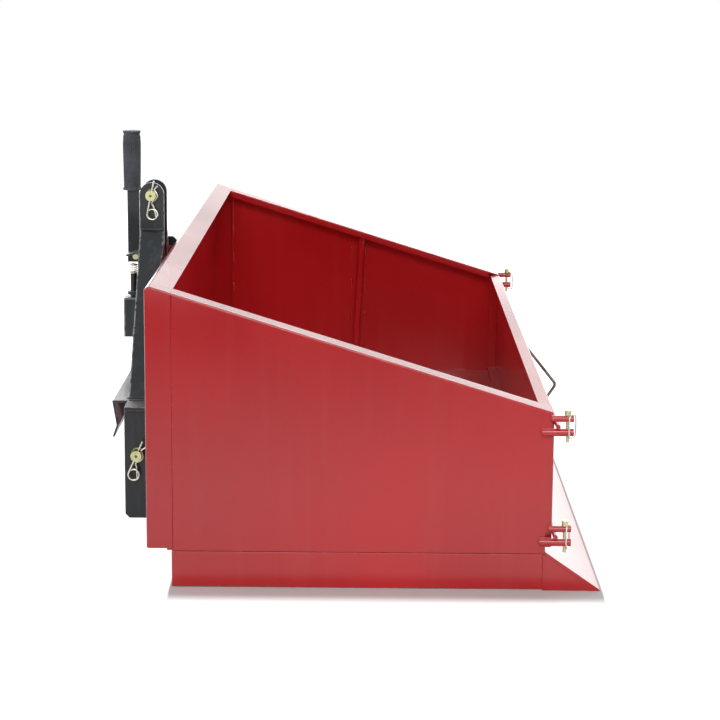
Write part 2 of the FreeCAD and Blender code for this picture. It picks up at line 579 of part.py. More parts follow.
def springGuide():
    guide = block("rod_guide_outer", ("-guideFront", "leverY - guideWidth/2", "guideBottom"),
                  ("-hitchFace", "leverY + guideWidth/2", "guideTop"))
    inside = "guideWidth/2 - guideWall"
    hollow = block("rod_guide_hollow", ("-guideFront + guideWall", f"leverY - ({inside})", "guideBottom"),
                   ("-hitchFace - guideWall", f"leverY + {inside}", "guideTop - guideWall"))
    hole = rod("rod_guide_hole", "Z", ("-rodX", "leverY", "guideTop - 2*guideWall"), "rodDiameter/2 + pinGap",
               "3*guideWall")
    keep(cut("rod_guide", guide, hollow, hole), "rod_guide")
    shaft = rod("spring_rod_shaft", "Z", ("-rodX", "leverY", "guideBottom + guideWidth"), "rodDiameter/2",
                "springBottom - guideBottom - guideWidth")
    collar = rod("spring_rod_collar", "Z", ("-rodX", "leverY", "collarBottom"), "collarDiameter/2",
                 "collarHeight")
    keep(fuse("spring_rod", shaft, collar), "spring_rod")
    keep(rod("return_spring", "Z", ("-rodX", "leverY", "springBottom"), "springDiameter/2", "springHeight"),
         "return_spring")
    brace = newBody("mast_brace")
    slant = "legRun/legDrop"
    low = f"(mastOuter + (legTop - braceBottom)*{slant} - legToe)"
    high = f"(mastOuter + (legTop - braceTop)*{slant} - legToe)"
    outline = [(f"-{low}", "braceBottom"), (low, "braceBottom"), (high, "braceTop"), (f"-{high}", "braceTop")]
    pad(brace, "YZ_Plane", outline, "bracePlate", "-hitchFace")


def lockStriker():
    """Two ears on the front wall with a bar between them for the hook."""
    ear = [("0", "strikerHeight + strikerRise"), ("0", "strikerHeight - 2*strikerRise"),
           ("-strikerReach", "strikerHeight - strikerRise"), ("-strikerReach", "strikerHeight + strikerRise")]
    ears = []
    for tag, outer in (("inner", "strikerInner"), ("outer", "strikerOuter + strikerPlate")):
        body = place(doc.addObject("PartDesign::Body", f"striker_ear_{tag}"))
        sidePad(body, ear, 1, outer, "strikerPlate")
        ears.append(body)
    bore = rod("striker_bore", "Y", ("-strikerX", "strikerInner - 2*strikerPlate", "strikerHeight"),
               "strikerDiameter/2 + runningGap", "strikerOuter - strikerInner + 4*strikerPlate")
    keep(cut("striker_ears", fuse("striker_ears_pair", *ears), bore), "striker_ears")
    keep(rod("striker_bar", "Y", ("-strikerX", "strikerInner - strikerPlate", "strikerHeight"),
             "strikerDiameter/2", "strikerOuter - strikerInner + 2*strikerPlate"), "striker_bar")


# ---------------------------------------------------------------- assembly
frontWall()
floorPanel()
baseChannels()
scraperLip()
tailgatePanel()
tailgateEdges()
tailgateHandle()
for rowName, rowHeight in (("top", "trunnionTop"), ("bottom", "trunnionBottom")):
    trunnions(rowName, rowHeight)
for sideName, sideSign in sides():
    sidePanel(sideName, sideSign)
    sideStiffener(sideName, sideSign)
    baseSkirt(sideName, sideSign)
    for rowName, rowHeight in (("top", "trunnionTop"), ("bottom", "trunnionBottom")):
        gateFork(rowName, rowHeight, sideName, sideSign)
    mastPlate(sideName, sideSign)
    mastLeg(sideName, sideSign)
    clevis(sideName, sideSign)
    tippingArm(sideName, sideSign)
    pivotLugs(sideName, sideSign)
crossPlate()
hitchPins()
pivotShaft()
lockLever()
leverGrip()
leverBracket()
springGuide()
lockStriker()

doc.recompute()

for thing in doc.Objects:
    if "Invalid" in thing.State or "Error" in thing.State:
        raise RuntimeError(f"{thing.Name} failed: {thing.State}")
for node in nodes:
    if node.Shape.isNull() or not node.Shape.isValid() or not node.Shape.Solids:
        raise RuntimeError(f"{node.Label} has no valid solid")

os.makedirs("parts", exist_ok=True)
total = FreeCAD.BoundBox()
for node in nodes:
    node.Shape.exportStep(f"parts/{node.Label}.step")
    total.add(node.Shape.BoundBox)
print(len(nodes), "nodes", total)
for label, point in {
    "pivot": ("wallX + pivotX", "0", "pivotHeight"),
    "gate hinge": ("wallX + trunnionX", "0", "trunnionTop"),
    "lever hinge": ("wallX - leverPivotX", "leverY", "leverPivotHeight"),
    "hitch pins": ("wallX - hitchPinX", "clevisOuter", "lowerPinHeight"),
}.items():
    print(label, [round(number(text), 3) for text in point])
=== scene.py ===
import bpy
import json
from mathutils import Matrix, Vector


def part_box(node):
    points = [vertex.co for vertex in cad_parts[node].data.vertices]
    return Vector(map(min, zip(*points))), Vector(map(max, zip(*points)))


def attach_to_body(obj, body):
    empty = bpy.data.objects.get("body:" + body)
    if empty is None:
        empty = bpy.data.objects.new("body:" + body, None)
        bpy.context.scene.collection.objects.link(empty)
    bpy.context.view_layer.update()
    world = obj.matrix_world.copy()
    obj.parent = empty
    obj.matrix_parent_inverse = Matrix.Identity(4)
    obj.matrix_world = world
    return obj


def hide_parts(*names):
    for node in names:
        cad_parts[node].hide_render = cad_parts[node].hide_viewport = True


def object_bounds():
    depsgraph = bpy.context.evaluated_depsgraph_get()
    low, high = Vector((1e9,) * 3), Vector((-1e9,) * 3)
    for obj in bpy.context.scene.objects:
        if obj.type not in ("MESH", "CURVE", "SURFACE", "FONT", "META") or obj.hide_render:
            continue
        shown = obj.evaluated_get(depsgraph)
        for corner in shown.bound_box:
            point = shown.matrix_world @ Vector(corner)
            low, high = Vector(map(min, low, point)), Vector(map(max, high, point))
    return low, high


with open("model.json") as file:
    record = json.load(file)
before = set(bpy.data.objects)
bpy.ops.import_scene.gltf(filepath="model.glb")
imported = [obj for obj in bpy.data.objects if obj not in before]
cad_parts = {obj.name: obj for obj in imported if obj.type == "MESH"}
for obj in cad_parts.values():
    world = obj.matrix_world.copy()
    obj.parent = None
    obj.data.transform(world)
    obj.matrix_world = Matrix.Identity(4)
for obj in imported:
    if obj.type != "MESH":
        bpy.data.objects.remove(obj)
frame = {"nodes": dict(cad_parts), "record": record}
cadBox = [list(corner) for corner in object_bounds()]

import json
import math

import bmesh
import bpy
from mathutils import Matrix, Vector, geometry

millimetre = 0.001
near = 1e-5  # metres within which two places count as one
record = frame["record"]
bodyOf = {node: body for body, names in record["behaviour"]["bodies"].items() for node in names}
slotOf = {row["node"]: row["material_slot"] for row in record["subparts"]}
sides = {"left": -1, "right": 1}
print("frame loaded:", len(frame["nodes"]), "nodes")


def reach(node):  # lowest and highest corners of a node, in mm
    low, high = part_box(node)
    return low / millimetre, high / millimetre


def paint(code):  # sRGB hex to a linear colour
    parts = [int(code[i:i + 2], 16) / 255 for i in (1, 3, 5)]
    return [part / 12.92 if part <= 0.04045 else ((part + 0.055) / 1.055) ** 2.4 for part in parts] + [1]


def addNode(tree, kind, settings):  # settings hold properties, values and links of the new node
    node = tree.nodes.new(kind)
    for key, value in settings.items():
        if isinstance(value, bpy.types.Node):
            value = value.outputs[0]
        if isinstance(key, str) and key in node.bl_rna.properties:
            setattr(node, key, value)
        elif isinstance(value, bpy.types.NodeSocket):
            tree.links.new(value, node.inputs[key])
        else:
            node.inputs[key].default_value = value
    return node


def layOver(tree, under, over, pattern, band=(0.0, 1.0), most=1.0):  # a second tone where a pattern is strong
    share = addNode(tree, "ShaderNodeMapRange", {
        "Value": pattern, "From Min": band[0], "From Max": band[1], "To Max": most})
    return addNode(tree, "ShaderNodeMix", {"data_type": "RGBA", 0: share, 6: under, 7: over}).outputs[2]


cameraSpot = {"place": (0.0545, -4.2507, 1.0652), "yaw": 0.18, "pitch": 10.93, "roll": 0.45, "lens": 104.9}


def addCamera():
    yaw, pitch, roll = (math.radians(cameraSpot[key]) for key in ("yaw", "pitch", "roll"))
    ahead = Vector((-math.sin(yaw) * math.cos(pitch), math.cos(yaw) * math.cos(pitch), -math.sin(pitch)))
    across = Vector((math.cos(yaw), math.sin(yaw), 0))
    above = across.cross(ahead)
    right = math.cos(roll) * across + math.sin(roll) * above
    up = math.cos(roll) * above - math.sin(roll) * across
    data = bpy.data.cameras.new("camera")
    data.lens = cameraSpot["lens"]
    camera = bpy.data.objects.new("camera", data)
    turn = Matrix((right, up, -ahead)).transposed().to_4x4()
    camera.matrix_world = Matrix.Translation(cameraSpot["place"]) @ turn
    bpy.context.scene.collection.objects.link(camera)
    bpy.context.scene.camera = camera


studio = {
    "ambient": 0.04,  # dome light on the object
    "floorSize": 30, "floorBelow": 0.5,  # metres across, and mm under the foot
    "paper": "#E7E7E7", "paperEnd": "#555555", "paperSeen": "#CECECE",
    # The paper's glow is kept low by the object's foot, and the camera sees a darker tone, which paints a
    # shadow around the foot.
    "fillNear": 0.08, "fillFar": 1.0, "fillMirrored": 0.72,  # its own white by the object, away, in mirrors
    "shadeFrom": 0.03, "shadeTo": 0.10,  # metres from the foot over which the fill grows
    "shadeAcross": 14,  # how much sooner it grows at the ends of the foot
    "paperNear": -1.45, "paperFar": -3.4,  # where the white paper runs out towards the camera
}
lamps = {  # place, point aimed at, width, height, watts
    "softboxRight": ((1.2, 0.35, 2.6), (0.0, 0.0, 0.3), 1.0, 1.0, 12),
    "leftLamp": ((-3.2, -0.4, 1.4), (0.0, 0.0, 0.4), 1.6, 1.6, 18),
    "lowFrontLamp": ((0.0, -3.4, 0.45), (0.0, 0.0, 0.25), 3.2, 0.7, 12),
    "highFrontLamp": ((0.0, -3.6, 2.4), (0.0, 0.0, 0.3), 2.4, 1.2, 64),
    "lowBackdropLamp": ((0.0, 4.4, 0.45), (0.0, 0.0, 0.5), 9.0, 0.9, 34),
    "highBackdropLamp": ((0.0, 4.4, 2.5), (0.0, 0.0, 0.6), 9.0, 1.2, 215),
}


def seenWhite(tree):  # 1 for camera, mirror and glass rays
    path = addNode(tree, "ShaderNodeLightPath", {}).outputs
    gloss = addNode(tree, "ShaderNodeMath", {
        "operation": "MAXIMUM", 0: path["Is Camera Ray"], 1: path["Is Glossy Ray"]})
    return addNode(tree, "ShaderNodeMath", {"operation": "MAXIMUM", 0: gloss, 1: path["Is Transmission Ray"]})


def addWorld():
    world = bpy.data.worlds.new("studio")
    bpy.context.scene.world = world
    world.use_nodes = True
    tree = world.node_tree
    white = addNode(tree, "ShaderNodeBackground", {"Color": paint("#FFFFFF"), "Strength": 1.0})
    dim = addNode(tree, "ShaderNodeBackground", {"Color": paint("#FFFFFF"), "Strength": studio["ambient"]})
    mix = addNode(tree, "ShaderNodeMixShader", {0: seenWhite(tree), 1: dim, 2: white})
    tree.links.new(mix.outputs[0], tree.nodes["World Output"].inputs[0])


def addLamps():
    for name, (place, aim, width, height, watts) in lamps.items():
        data = bpy.data.lights.new(name, "AREA")
        data.shape = "RECTANGLE"
        data.size, data.size_y, data.energy = width, height, watts
        lamp = bpy.data.objects.new(name, data)
        lamp.location = place
        lamp.rotation_euler = (Vector(aim) - Vector(place)).to_track_quat("-Z", "Y").to_euler()
        lamp.visible_camera = False
        bpy.context.scene.collection.objects.link(lamp)


def footDistance(tree, place):  # metres from the rectangle that the object stands on
    corners = [corner for node in frame["nodes"] if node.startswith(("base_skirt", "scraper_lip"))
               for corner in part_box(node)]
    low, high = (Vector([choose(axis) for axis in zip(*corners)]) for choose in (min, max))
    low.z, high.z = -1, 1
    centred = addNode(tree, "ShaderNodeVectorMath", {"operation": "SUBTRACT", 0: place, 1: (low + high) / 2})
    folded = addNode(tree, "ShaderNodeVectorMath", {"operation": "ABSOLUTE", 0: centred})
    beyond = addNode(tree, "ShaderNodeVectorMath", {"operation": "SUBTRACT", 0: folded, 1: (high - low) / 2})
    outside = addNode(tree, "ShaderNodeVectorMath", {"operation": "MAXIMUM", 0: beyond, 1: (0, 0, 0)})
    across = addNode(tree, "ShaderNodeVectorMath", {
        "operation": "MULTIPLY", 0: outside, 1: (studio["shadeAcross"], 1, 1)})
    return addNode(tree, "ShaderNodeVectorMath", {"operation": "LENGTH", 0: across}).outputs["Value"]


def makePaper():  # Matt white studio paper that gives light of its own, less of it by the object's foot, where the dimmer glow paints a shadow.
    paper = bpy.data.materials.new("whitePaper")
    paper.use_nodes = True
    tree = paper.node_tree
    tree.nodes.remove(tree.nodes["Principled BSDF"])
    place = addNode(tree, "ShaderNodeTexCoord", {}).outputs["Object"]
    front = addNode(tree, "ShaderNodeSeparateXYZ", {0: place}).outputs[1]
    runOut = addNode(tree, "ShaderNodeMapRange", {
        "Value": front, "From Min": studio["paperNear"], "From Max": studio["paperFar"]})
    camera = addNode(tree, "ShaderNodeLightPath", {}).outputs["Is Camera Ray"]
    bounced = layOver(tree, paint(studio["paper"]), paint(studio["paperEnd"]), runOut)
    tone = layOver(tree, bounced, paint(studio["paperSeen"]), camera)
    matt = addNode(tree, "ShaderNodeBsdfDiffuse", {"Color": tone})
    whitest = addNode(tree, "ShaderNodeMapRange", {
        "Value": camera, "To Min": studio["fillMirrored"], "To Max": studio["fillFar"]})
    # Painted shadow: the glow stays low by the foot and grows to full white away from it.
    fill = addNode(tree, "ShaderNodeMapRange", {
        "interpolation_type": "SMOOTHSTEP", "Value": footDistance(tree, place),
        "From Min": studio["shadeFrom"], "From Max": studio["shadeTo"], "To Min": studio["fillNear"],
        "To Max": whitest})
    mirrored = addNode(tree, "ShaderNodeMath", {
        "operation": "SUBTRACT", "use_clamp": True, 0: seenWhite(tree), 1: runOut})
    lit = addNode(tree, "ShaderNodeMath", {"operation": "MAXIMUM", 0: mirrored, 1: camera})
    strength = addNode(tree, "ShaderNodeMath", {"operation": "MULTIPLY", 0: lit, 1: fill})
    glow = addNode(tree, "ShaderNodeEmission", {"Strength": strength})
    both = addNode(tree, "ShaderNodeAddShader", {0: matt, 1: glow})
    tree.links.new(both.outputs[0], tree.nodes["Material Output"].inputs[0])
    return paper


def addFloor():
    half, below = studio["floorSize"] / 2, -studio["floorBelow"] * millimetre
    mesh = bpy.data.meshes.new("studioFloor")
    mesh.from_pydata([(-half, -half, below), (half, -half, below), (half, half, below), (-half, half, below)],
                     [], [(0, 1, 2, 3)])
    floor = bpy.data.objects.new("studioFloor", mesh)
    bpy.context.scene.collection.objects.link(floor)
    mesh.materials.append(makePaper())


addCamera()
addWorld()
addLamps()
addFloor()
bpy.context.scene.view_settings.view_transform = "Standard"
print("camera, lamps and floor made")


def newFinish(name):
    material = bpy.data.materials.new(name)
    material.use_nodes = True
    tree = material.node_tree
    place = addNode(tree, "ShaderNodeTexCoord", {}).outputs["Object"]
    return material, tree, tree.nodes["Principled BSDF"], place


def grain(tree, place, size, detail=2.0, stretch=(1, 1, 1)):  # noise whose lumps are about size mm across
    place = addNode(tree, "ShaderNodeMapping", {"Vector": place, "Scale": stretch})
    return addNode(tree, "ShaderNodeTexNoise", {
        "Vector": place, "Scale": 1 / millimetre / size, "Detail": detail})


def facingUp(tree, most):  # 0 on walls, most on level faces
    normal = addNode(tree, "ShaderNodeTexCoord", {}).outputs["Normal"]
    height = addNode(tree, "ShaderNodeSeparateXYZ", {0: normal}).outputs[2]
    return addNode(tree, "ShaderNodeMapRange", {"Value": height, "From Min": 0.7, "To Max": most})


def varyGloss(tree, shader, pattern, rough):
    spread = addNode(tree, "ShaderNodeMapRange", {
        "Value": pattern, "From Min": 0.3, "From Max": 0.7, "To Min": rough[0], "To Max": rough[1]})
    tree.links.new(spread.outputs[0], shader.inputs["Roughness"])


enamels = {
    # Sprayed synthetic enamel on folded sheet: deep colour under a wet gloss that mirrors pale surroundings
    # at low angles.
    # The pale tone on level faces is partly dust and partly a painted sheen.
    "redEnamel": {"deep": "#BC161C", "light": "#CA1A20", "worn": "#D8A09A", "dust": "#E4CFCD",
                  "cloud": 420, "streak": 26, "peel": 5, "wave": 230, "rough": (0.12, 0.22), "ior": 1.5,
                  # The pale pink rim tone is partly edge wear and partly a painted edge highlight.
                  "dustMost": 0.22, "streakMost": 0.01, "chips": 0.08, "chipsFrom": 0.58},
    # Brushed-on chassis enamel over welded steel: near black, satin, paler where light grazes its peel.
    # The pale tone on level faces is partly dust and partly a painted sheen.
    "blackEnamel": {"deep": "#12191D", "light": "#1A2329", "worn": "#C2C8CB", "dust": "#BCC5C7",
                    "cloud": 160, "streak": 18, "peel": 4, "wave": 90, "rough": (0.32, 0.46), "ior": 1.38,
                    "dustMost": 0.34, "streakMost": 0.06, "chips": 0.45, "chipsFrom": 0.40},
}
enamelCoat = {  # what both share: sizes in mm, and the band of each noise over which it comes to show
    "coat": 0.3, "coatRough": 0.06, "speck": 6, "chip": 9, "runs": (1, 1, 0.06), "cloudBand": (0.35, 0.65),
    "streakBand": (0.5, 0.75), "speckBand": (0.05, 0.45), "chipBand": 0.12, "relief": 0.12, "waveHigh": 1.0,
    "peelHigh": 0.3,
}


def makeEnamel(name):
    sizes = {**enamelCoat, **enamels[name]}
    material, tree, shader, place = newFinish(name)
    dust = paint(sizes["dust"])
    cloud = grain(tree, place, sizes["cloud"])
    colour = layOver(tree, paint(sizes["deep"]), paint(sizes["light"]), cloud, sizes["cloudBand"])
    streak = grain(tree, place, sizes["streak"], 3.0, sizes["runs"])
    colour = layOver(tree, colour, dust, streak, sizes["streakBand"], sizes["streakMost"])
    low, high = sizes["speckBand"]
    specks = addNode(tree, "ShaderNodeMapRange", {
        "Value": grain(tree, place, sizes["speck"], 3.0), "From Min": low, "From Max": high})
    # Up-facing faces turn paler: partly settled dust, partly a painted sheen standing in for the pale
    # surroundings they mirror.
    topDustAndSheen = addNode(tree, "ShaderNodeMath", {
        "operation": "MULTIPLY", 0: specks, 1: facingUp(tree, sizes["dustMost"])})
    colour = layOver(tree, colour, dust, topDustAndSheen)
    # Bevelled rims take the pale rim tone: chipped edges on the black, on the red partly wear and partly a
    # painted edge highlight.
    rim = addNode(tree, "ShaderNodeAttribute", {"attribute_name": "rimWear"}).outputs["Fac"]
    low, high = sizes["chipsFrom"], sizes["chipsFrom"] + sizes["chipBand"]
    chips = addNode(tree, "ShaderNodeMapRange", {
        "Value": grain(tree, place, sizes["chip"], 4.0), "From Min": low, "From Max": high,
        "To Max": sizes["chips"]})
    worn = addNode(tree, "ShaderNodeMath", {"operation": "MULTIPLY", 0: rim, 1: chips})
    colour = layOver(tree, colour, paint(sizes["worn"]), worn)
    tree.links.new(colour, shader.inputs["Base Color"])
    varyGloss(tree, shader, cloud, sizes["rough"])
    shader.inputs["IOR"].default_value = sizes["ior"]
    shader.inputs["Coat Weight"].default_value = sizes["coat"]
    shader.inputs["Coat Roughness"].default_value = sizes["coatRough"]
    relief = sizes["relief"]
    wave = addNode(tree, "ShaderNodeBump", {
        "Strength": relief, "Distance": sizes["waveHigh"] * millimetre,
        "Height": grain(tree, place, sizes["wave"], 1.0)})
    peel = addNode(tree, "ShaderNodeBump", {
        "Strength": relief, "Distance": sizes["peelHigh"] * millimetre,
        "Height": grain(tree, place, sizes["peel"]), "Normal": wave})
    tree.links.new(peel.outputs[0], shader.inputs["Normal"])
    return material


metals = {
    # Yellow passivated zinc: a metal shine whose thin film drifts from straw to green and pink.
    "yellowZinc": {"colours": ("#C3C08E", "#AEB88C", "#CFC09A"), "drift": 9, "rough": (0.22, 0.38)},
    # Clear passivated zinc wire: pale blue-grey metal, softly bright.
    "brightZinc": {"colours": ("#D8D6CA", "#C4C8C0", "#E2DCC8"), "drift": 7, "rough": (0.2, 0.34)},
    # Cold drawn bar with a film of grease: dark grey metal with smeared shine.
    "drawnSteel": {"colours": ("#7D7B77", "#5E5B56", "#8C8880"), "drift": 22, "rough": (0.28, 0.5)},
}
metalFilm = {"metallic": 1.0, "secondBand": (0.4, 0.62), "thirdBand": (0.52, 0.7), "patch": 0.6,
             "skew": (1.3, 0.8, 1.7), "scratch": 1.2, "drawn": (0.2, 1, 1), "relief": 0.1, "high": 0.1}


def makeMetal(name):
    sizes = {**metalFilm, **metals[name]}
    material, tree, shader, place = newFinish(name)
    first, second, third = (paint(code) for code in sizes["colours"])
    film = grain(tree, place, sizes["drift"], 3.0)
    other = grain(tree, place, sizes["drift"] * sizes["patch"], 2.0, sizes["skew"])
    colour = layOver(tree, first, second, film, sizes["secondBand"])
    colour = layOver(tree, colour, third, other, sizes["thirdBand"])
    tree.links.new(colour, shader.inputs["Base Color"])
    varyGloss(tree, shader, other, sizes["rough"])
    shader.inputs["Metallic"].default_value = sizes["metallic"]
    scratches = grain(tree, place, sizes["scratch"], 2.0, sizes["drawn"])
    bump = addNode(tree, "ShaderNodeBump", {
        "Strength": sizes["relief"], "Height": scratches, "Distance": sizes["high"] * millimetre})
    tree.links.new(bump.outputs[0], shader.inputs["Normal"])
    return material


# The pale tone on the grip's up-facing faces is a painted sheen.
rubber = {"dark": "#3B3E44", "pale": "#565A61", "top": "#8E9298", "topMost": 0.5, "speck": 2.5, "cloud": 30,
          "bloomBand": (0.35, 0.7), "rough": 0.72, "ior": 1.5, "relief": 0.3, "high": 0.3}


def makeRubber():  # Moulded grip rubber: matt grey black with a dusty bloom in its grooves.
    material, tree, shader, place = newFinish("gripRubber")
    bloom = grain(tree, place, rubber["cloud"], 4.0)
    colour = layOver(tree, paint(rubber["dark"]), paint(rubber["pale"]), bloom, rubber["bloomBand"])
    # Painted sheen: up-facing faces paler.
    colour = layOver(tree, colour, paint(rubber["top"]), facingUp(tree, rubber["topMost"]))
    tree.links.new(colour, shader.inputs["Base Color"])
    shader.inputs["Roughness"].default_value = rubber["rough"]
    shader.inputs["IOR"].default_value = rubber["ior"]
    specks = grain(tree, place, rubber["speck"])
    bump = addNode(tree, "ShaderNodeBump", {
        "Strength": rubber["relief"], "Height": specks, "Distance": rubber["high"] * millimetre})
    tree.links.new(bump.outputs[0], shader.inputs["Normal"])
    return material


redEnamel, blackEnamel = makeEnamel("redEnamel"), makeEnamel("blackEnamel")
yellowZinc, brightZinc, drawnSteel = (makeMetal(name) for name in metals)
gripRubber = makeRubber()
slotFinish = {"red_enamel": redEnamel, "black_enamel": blackEnamel, "yellow_zinc": yellowZinc,
              "bright_zinc": brightZinc, "shaft_steel": drawnSteel, "grip_rubber": gripRubber}
print("finishes made:", len(slotFinish))


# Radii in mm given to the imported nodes.
rounding = {
    "fold": 3.5,  # outer radius of a press-brake bend
    "inside": 0.9,  # radius left inside a bend
    "cut": 0.5,  # softened edge of cut sheet or plate
    "slim": 6.5,  # faces narrower than this are cut edges
    "share": 0.3,  # most of a slim face's width that its softened edge may take
    "crease": 25,  # degrees from which an edge counts
    "sharp": 35,  # degrees from which shading breaks
    "steps": 3,
}


def camel(name):
    first, *rest = name.split("_")
    return first + "".join(word.capitalize() for word in rest)


def mergedShape(mesh):  # loose triangles as one closed shape with flat faces
    shape = bmesh.new()
    shape.from_mesh(mesh)
    bmesh.ops.remove_doubles(shape, verts=shape.verts, dist=0.01 * millimetre)
    bmesh.ops.dissolve_limit(shape, angle_limit=math.radians(1), verts=shape.verts, edges=shape.edges)
    return shape


def pour(shape, mesh):
    shape.to_mesh(mesh)
    shape.free()
    return mesh


def newPiece(name, mesh, material):
    piece = bpy.data.objects.new(name, mesh)
    bpy.context.scene.collection.objects.link(piece)
    if not mesh.materials:
        mesh.materials.append(material)
    return piece


def settle(piece):  # the modifiers' result becomes the piece's own mesh
    graph = bpy.context.evaluated_depsgraph_get()
    result = bpy.data.meshes.new_from_object(piece.evaluated_get(graph), preserve_all_data_layers=True,
                                             depsgraph=graph)
    spare = piece.data
    piece.modifiers.clear()
    piece.data = result
    bpy.data.meshes.remove(spare)
    result.name = piece.name
    return piece


def gapAhead(face, here, ahead):  # distance across a face from one of its corners
    across = ahead.cross(face.normal)
    gaps = []
    for edge in face.edges:
        first, second = (vert.co - here for vert in edge.verts)
        from1, from2 = first.dot(across), second.dot(across)
        if abs(from1 - from2) > 1e-7 and from1 * from2 <= 1e-12:
            gap = first.dot(ahead) + (second - first).dot(ahead) * from1 / (from1 - from2)
            if gap > near:
                gaps.append(gap)
    return min(gaps, default=1.0)


def cutOffSlimParts(shape, sizes):  # where a wide face narrows to a sheet edge, that part gets its own face
    for face in [face for face in shape.faces if len(face.verts) > 5]:
        cuts = []
        for loop in face.loops:
            if loop.is_convex:
                continue
            here = loop.vert.co.copy()
            arrive = (here - loop.link_loop_prev.vert.co).normalized()
            leave = (loop.link_loop_next.vert.co - here).normalized()
            if arrive.angle(leave) < math.radians(sizes["crease"]):
                continue
            for ahead, slimWay in ((arrive, leave), (-leave, -arrive)):
                if gapAhead(face, here, ahead) / millimetre < sizes["slim"]:
                    slimWay = (slimWay - ahead * slimWay.dot(ahead)).normalized()
                    cuts += [(here, slimWay), (here - slimWay * sizes["fold"] * millimetre, slimWay)]
        part = [face, *face.edges, *face.verts]
        for place, direction in cuts:
            cut = bmesh.ops.bisect_plane(shape, geom=part, dist=near / 10, plane_co=place, plane_no=direction)
            part = [item for item in cut["geom"] if item.is_valid]


def crossing(corners, i, j):  # where an outline's side from corner i crosses its side from corner j
    a, b, c, d = (corners[k % len(corners)] for k in (i, i + 1, j, j + 1))
    meeting = geometry.intersect_line_line(a, b, c, d)
    if meeting is None or (meeting[0] - meeting[1]).length > near:
        return None
    shares = [(meeting[0] - start).dot(end - start) / (end - start).length_squared
              for start, end in ((a, b), (c, d))]
    return meeting[0] if all(1e-6 < share < 1 - 1e-6 for share in shares) else None


def drawBackCrossings(mesh):  # two roundings that cross at a face's corner meet in one point instead
    shape = bmesh.new()
    shape.from_mesh(mesh)
    for face in shape.faces:
        count = len(face.verts)
        if count < 5:
            continue
        for i in range(count):
            for between in (2, 3):
                corners = [vert.co for vert in face.verts]
                point = crossing(corners, i, i + between)
                if point is not None:
                    point = point.copy()
                    for k in range(i + 1, i + between + 1):
                        face.verts[k % count].co = point
    bmesh.ops.remove_doubles(shape, verts=shape.verts, dist=0.002 * millimetre)
    pour(shape, mesh)


def softenEdges(piece, changes):
    sizes = {**rounding, **changes}
    mesh = piece.data
    shape = bmesh.new()
    shape.from_mesh(mesh)
    cutOffSlimParts(shape, sizes)
    widest = max(sizes["fold"], sizes["cut"], sizes["inside"])
    layer = shape.edges.layers.float.new("bevel_weight_edge")
    for edge in shape.edges:
        if len(edge.link_faces) != 2:
            continue
        angle = math.degrees(edge.calc_face_angle_signed(0))
        if abs(angle) < sizes["crease"]:
            continue
        slim = min(2 * face.calc_area() / face.calc_perimeter() for face in edge.link_faces) / millimetre
        if slim < sizes["slim"]:
            radius = min(sizes["cut"], slim * sizes["share"])
        else:
            radius = sizes["fold"] if angle > 0 else sizes["inside"]
        edge[layer] = radius / widest
    pour(shape, mesh)
    bevel = piece.modifiers.new("bend", "BEVEL")
    bevel.limit_method = "WEIGHT"
    bevel.width = widest * millimetre
    bevel.segments = sizes["steps"]
    bevel.use_clamp_overlap = False
    bevel.material = 1
    mesh.materials.append(mesh.materials[0])
    settle(piece)
    mesh = piece.data
    drawBackCrossings(mesh)
    # Bevelled faces carry the pale rim tone, which on the red enamel is partly a painted edge highlight.
    wear = mesh.attributes.new("rimWear", "FLOAT", "FACE")
    wear.data.foreach_set("value", [float(face.material_index) for face in mesh.polygons])
    mesh.polygons.foreach_set("material_index", [0] * len(mesh.polygons))
    mesh.materials.pop(index=1)
    mesh.shade_smooth()
    mesh.set_sharp_from_angle(angle=math.radians(sizes["sharp"]))
    even = piece.modifiers.new("even", "WEIGHTED_NORMAL")
    even.keep_sharp = True
    settle(piece)
    return piece


def attach(piece, body, slot, *nodes):
    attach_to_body(piece, body)
    if nodes:
        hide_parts(*nodes)


# What differs from folded sheet, by the start of a node's name.
ownRounding = {
    ("scraper_lip",): {"fold": 0.8, "cut": 0.6},
    ("mast_leg",): {"fold": 3.0},
    ("tipping_arm",): {"fold": 3.0, "cut": 0.8},
    ("lever_bracket", "clevis", "mast_plate", "mast_brace", "pivot_lugs", "striker_ears", "lock_lever"):
        {"fold": 0.9, "cut": 0.9, "inside": 0.9, "slim": 0},  # flame-cut plate
    ("top_link_pin", "lower_link_pin", "gate_fork", "gate_trunnions", "striker_bar", "lynch_pin",
     "pivot_shaft", "lever_pivot_pin", "spring_rod"):
        {"fold": 0.8, "cut": 0.8, "share": 0.25, "inside": 0.5, "crease": 40},  # turned bar
}
gateNodes = [node for node in frame["nodes"] if node.startswith("tailgate_edge")] + ["tailgate_panel"]
gateFold = 2.6  # outer radius of the tailgate's own bends
madeAnew = set(gateNodes) | {"tailgate_handle", "lever_grip", "return_spring"}

# Lathe centre left in both ends of a turned pin.
centreHole = {"pins": ("top_link_pin", "lower_link_pin_left", "lower_link_pin_right"),
              "mouth": 2.7, "floor": 0.5, "depth": 6}


def drillCentres(shape):
    mouth, floor, depth = (centreHole[size] * millimetre for size in ("mouth", "floor", "depth"))
    heights = [vert.co.y for vert in shape.verts]
    for end in (min(heights), max(heights)):
        flat = [face for face in shape.faces if all(abs(vert.co.y - end) < near for vert in face.verts)]
        face = max(flat, key=lambda face: face.calc_area())
        radius = math.sqrt(face.calc_area() / math.pi)
        bmesh.ops.inset_region(shape, faces=[face], thickness=radius - mouth)
        face = bmesh.ops.extrude_discrete_faces(shape, faces=[face])["faces"][0]
        middle, inward = face.calc_center_median(), -face.normal.copy()
        for vert in face.verts:
            vert.co = middle + (vert.co - middle) * (floor / mouth) + inward * depth


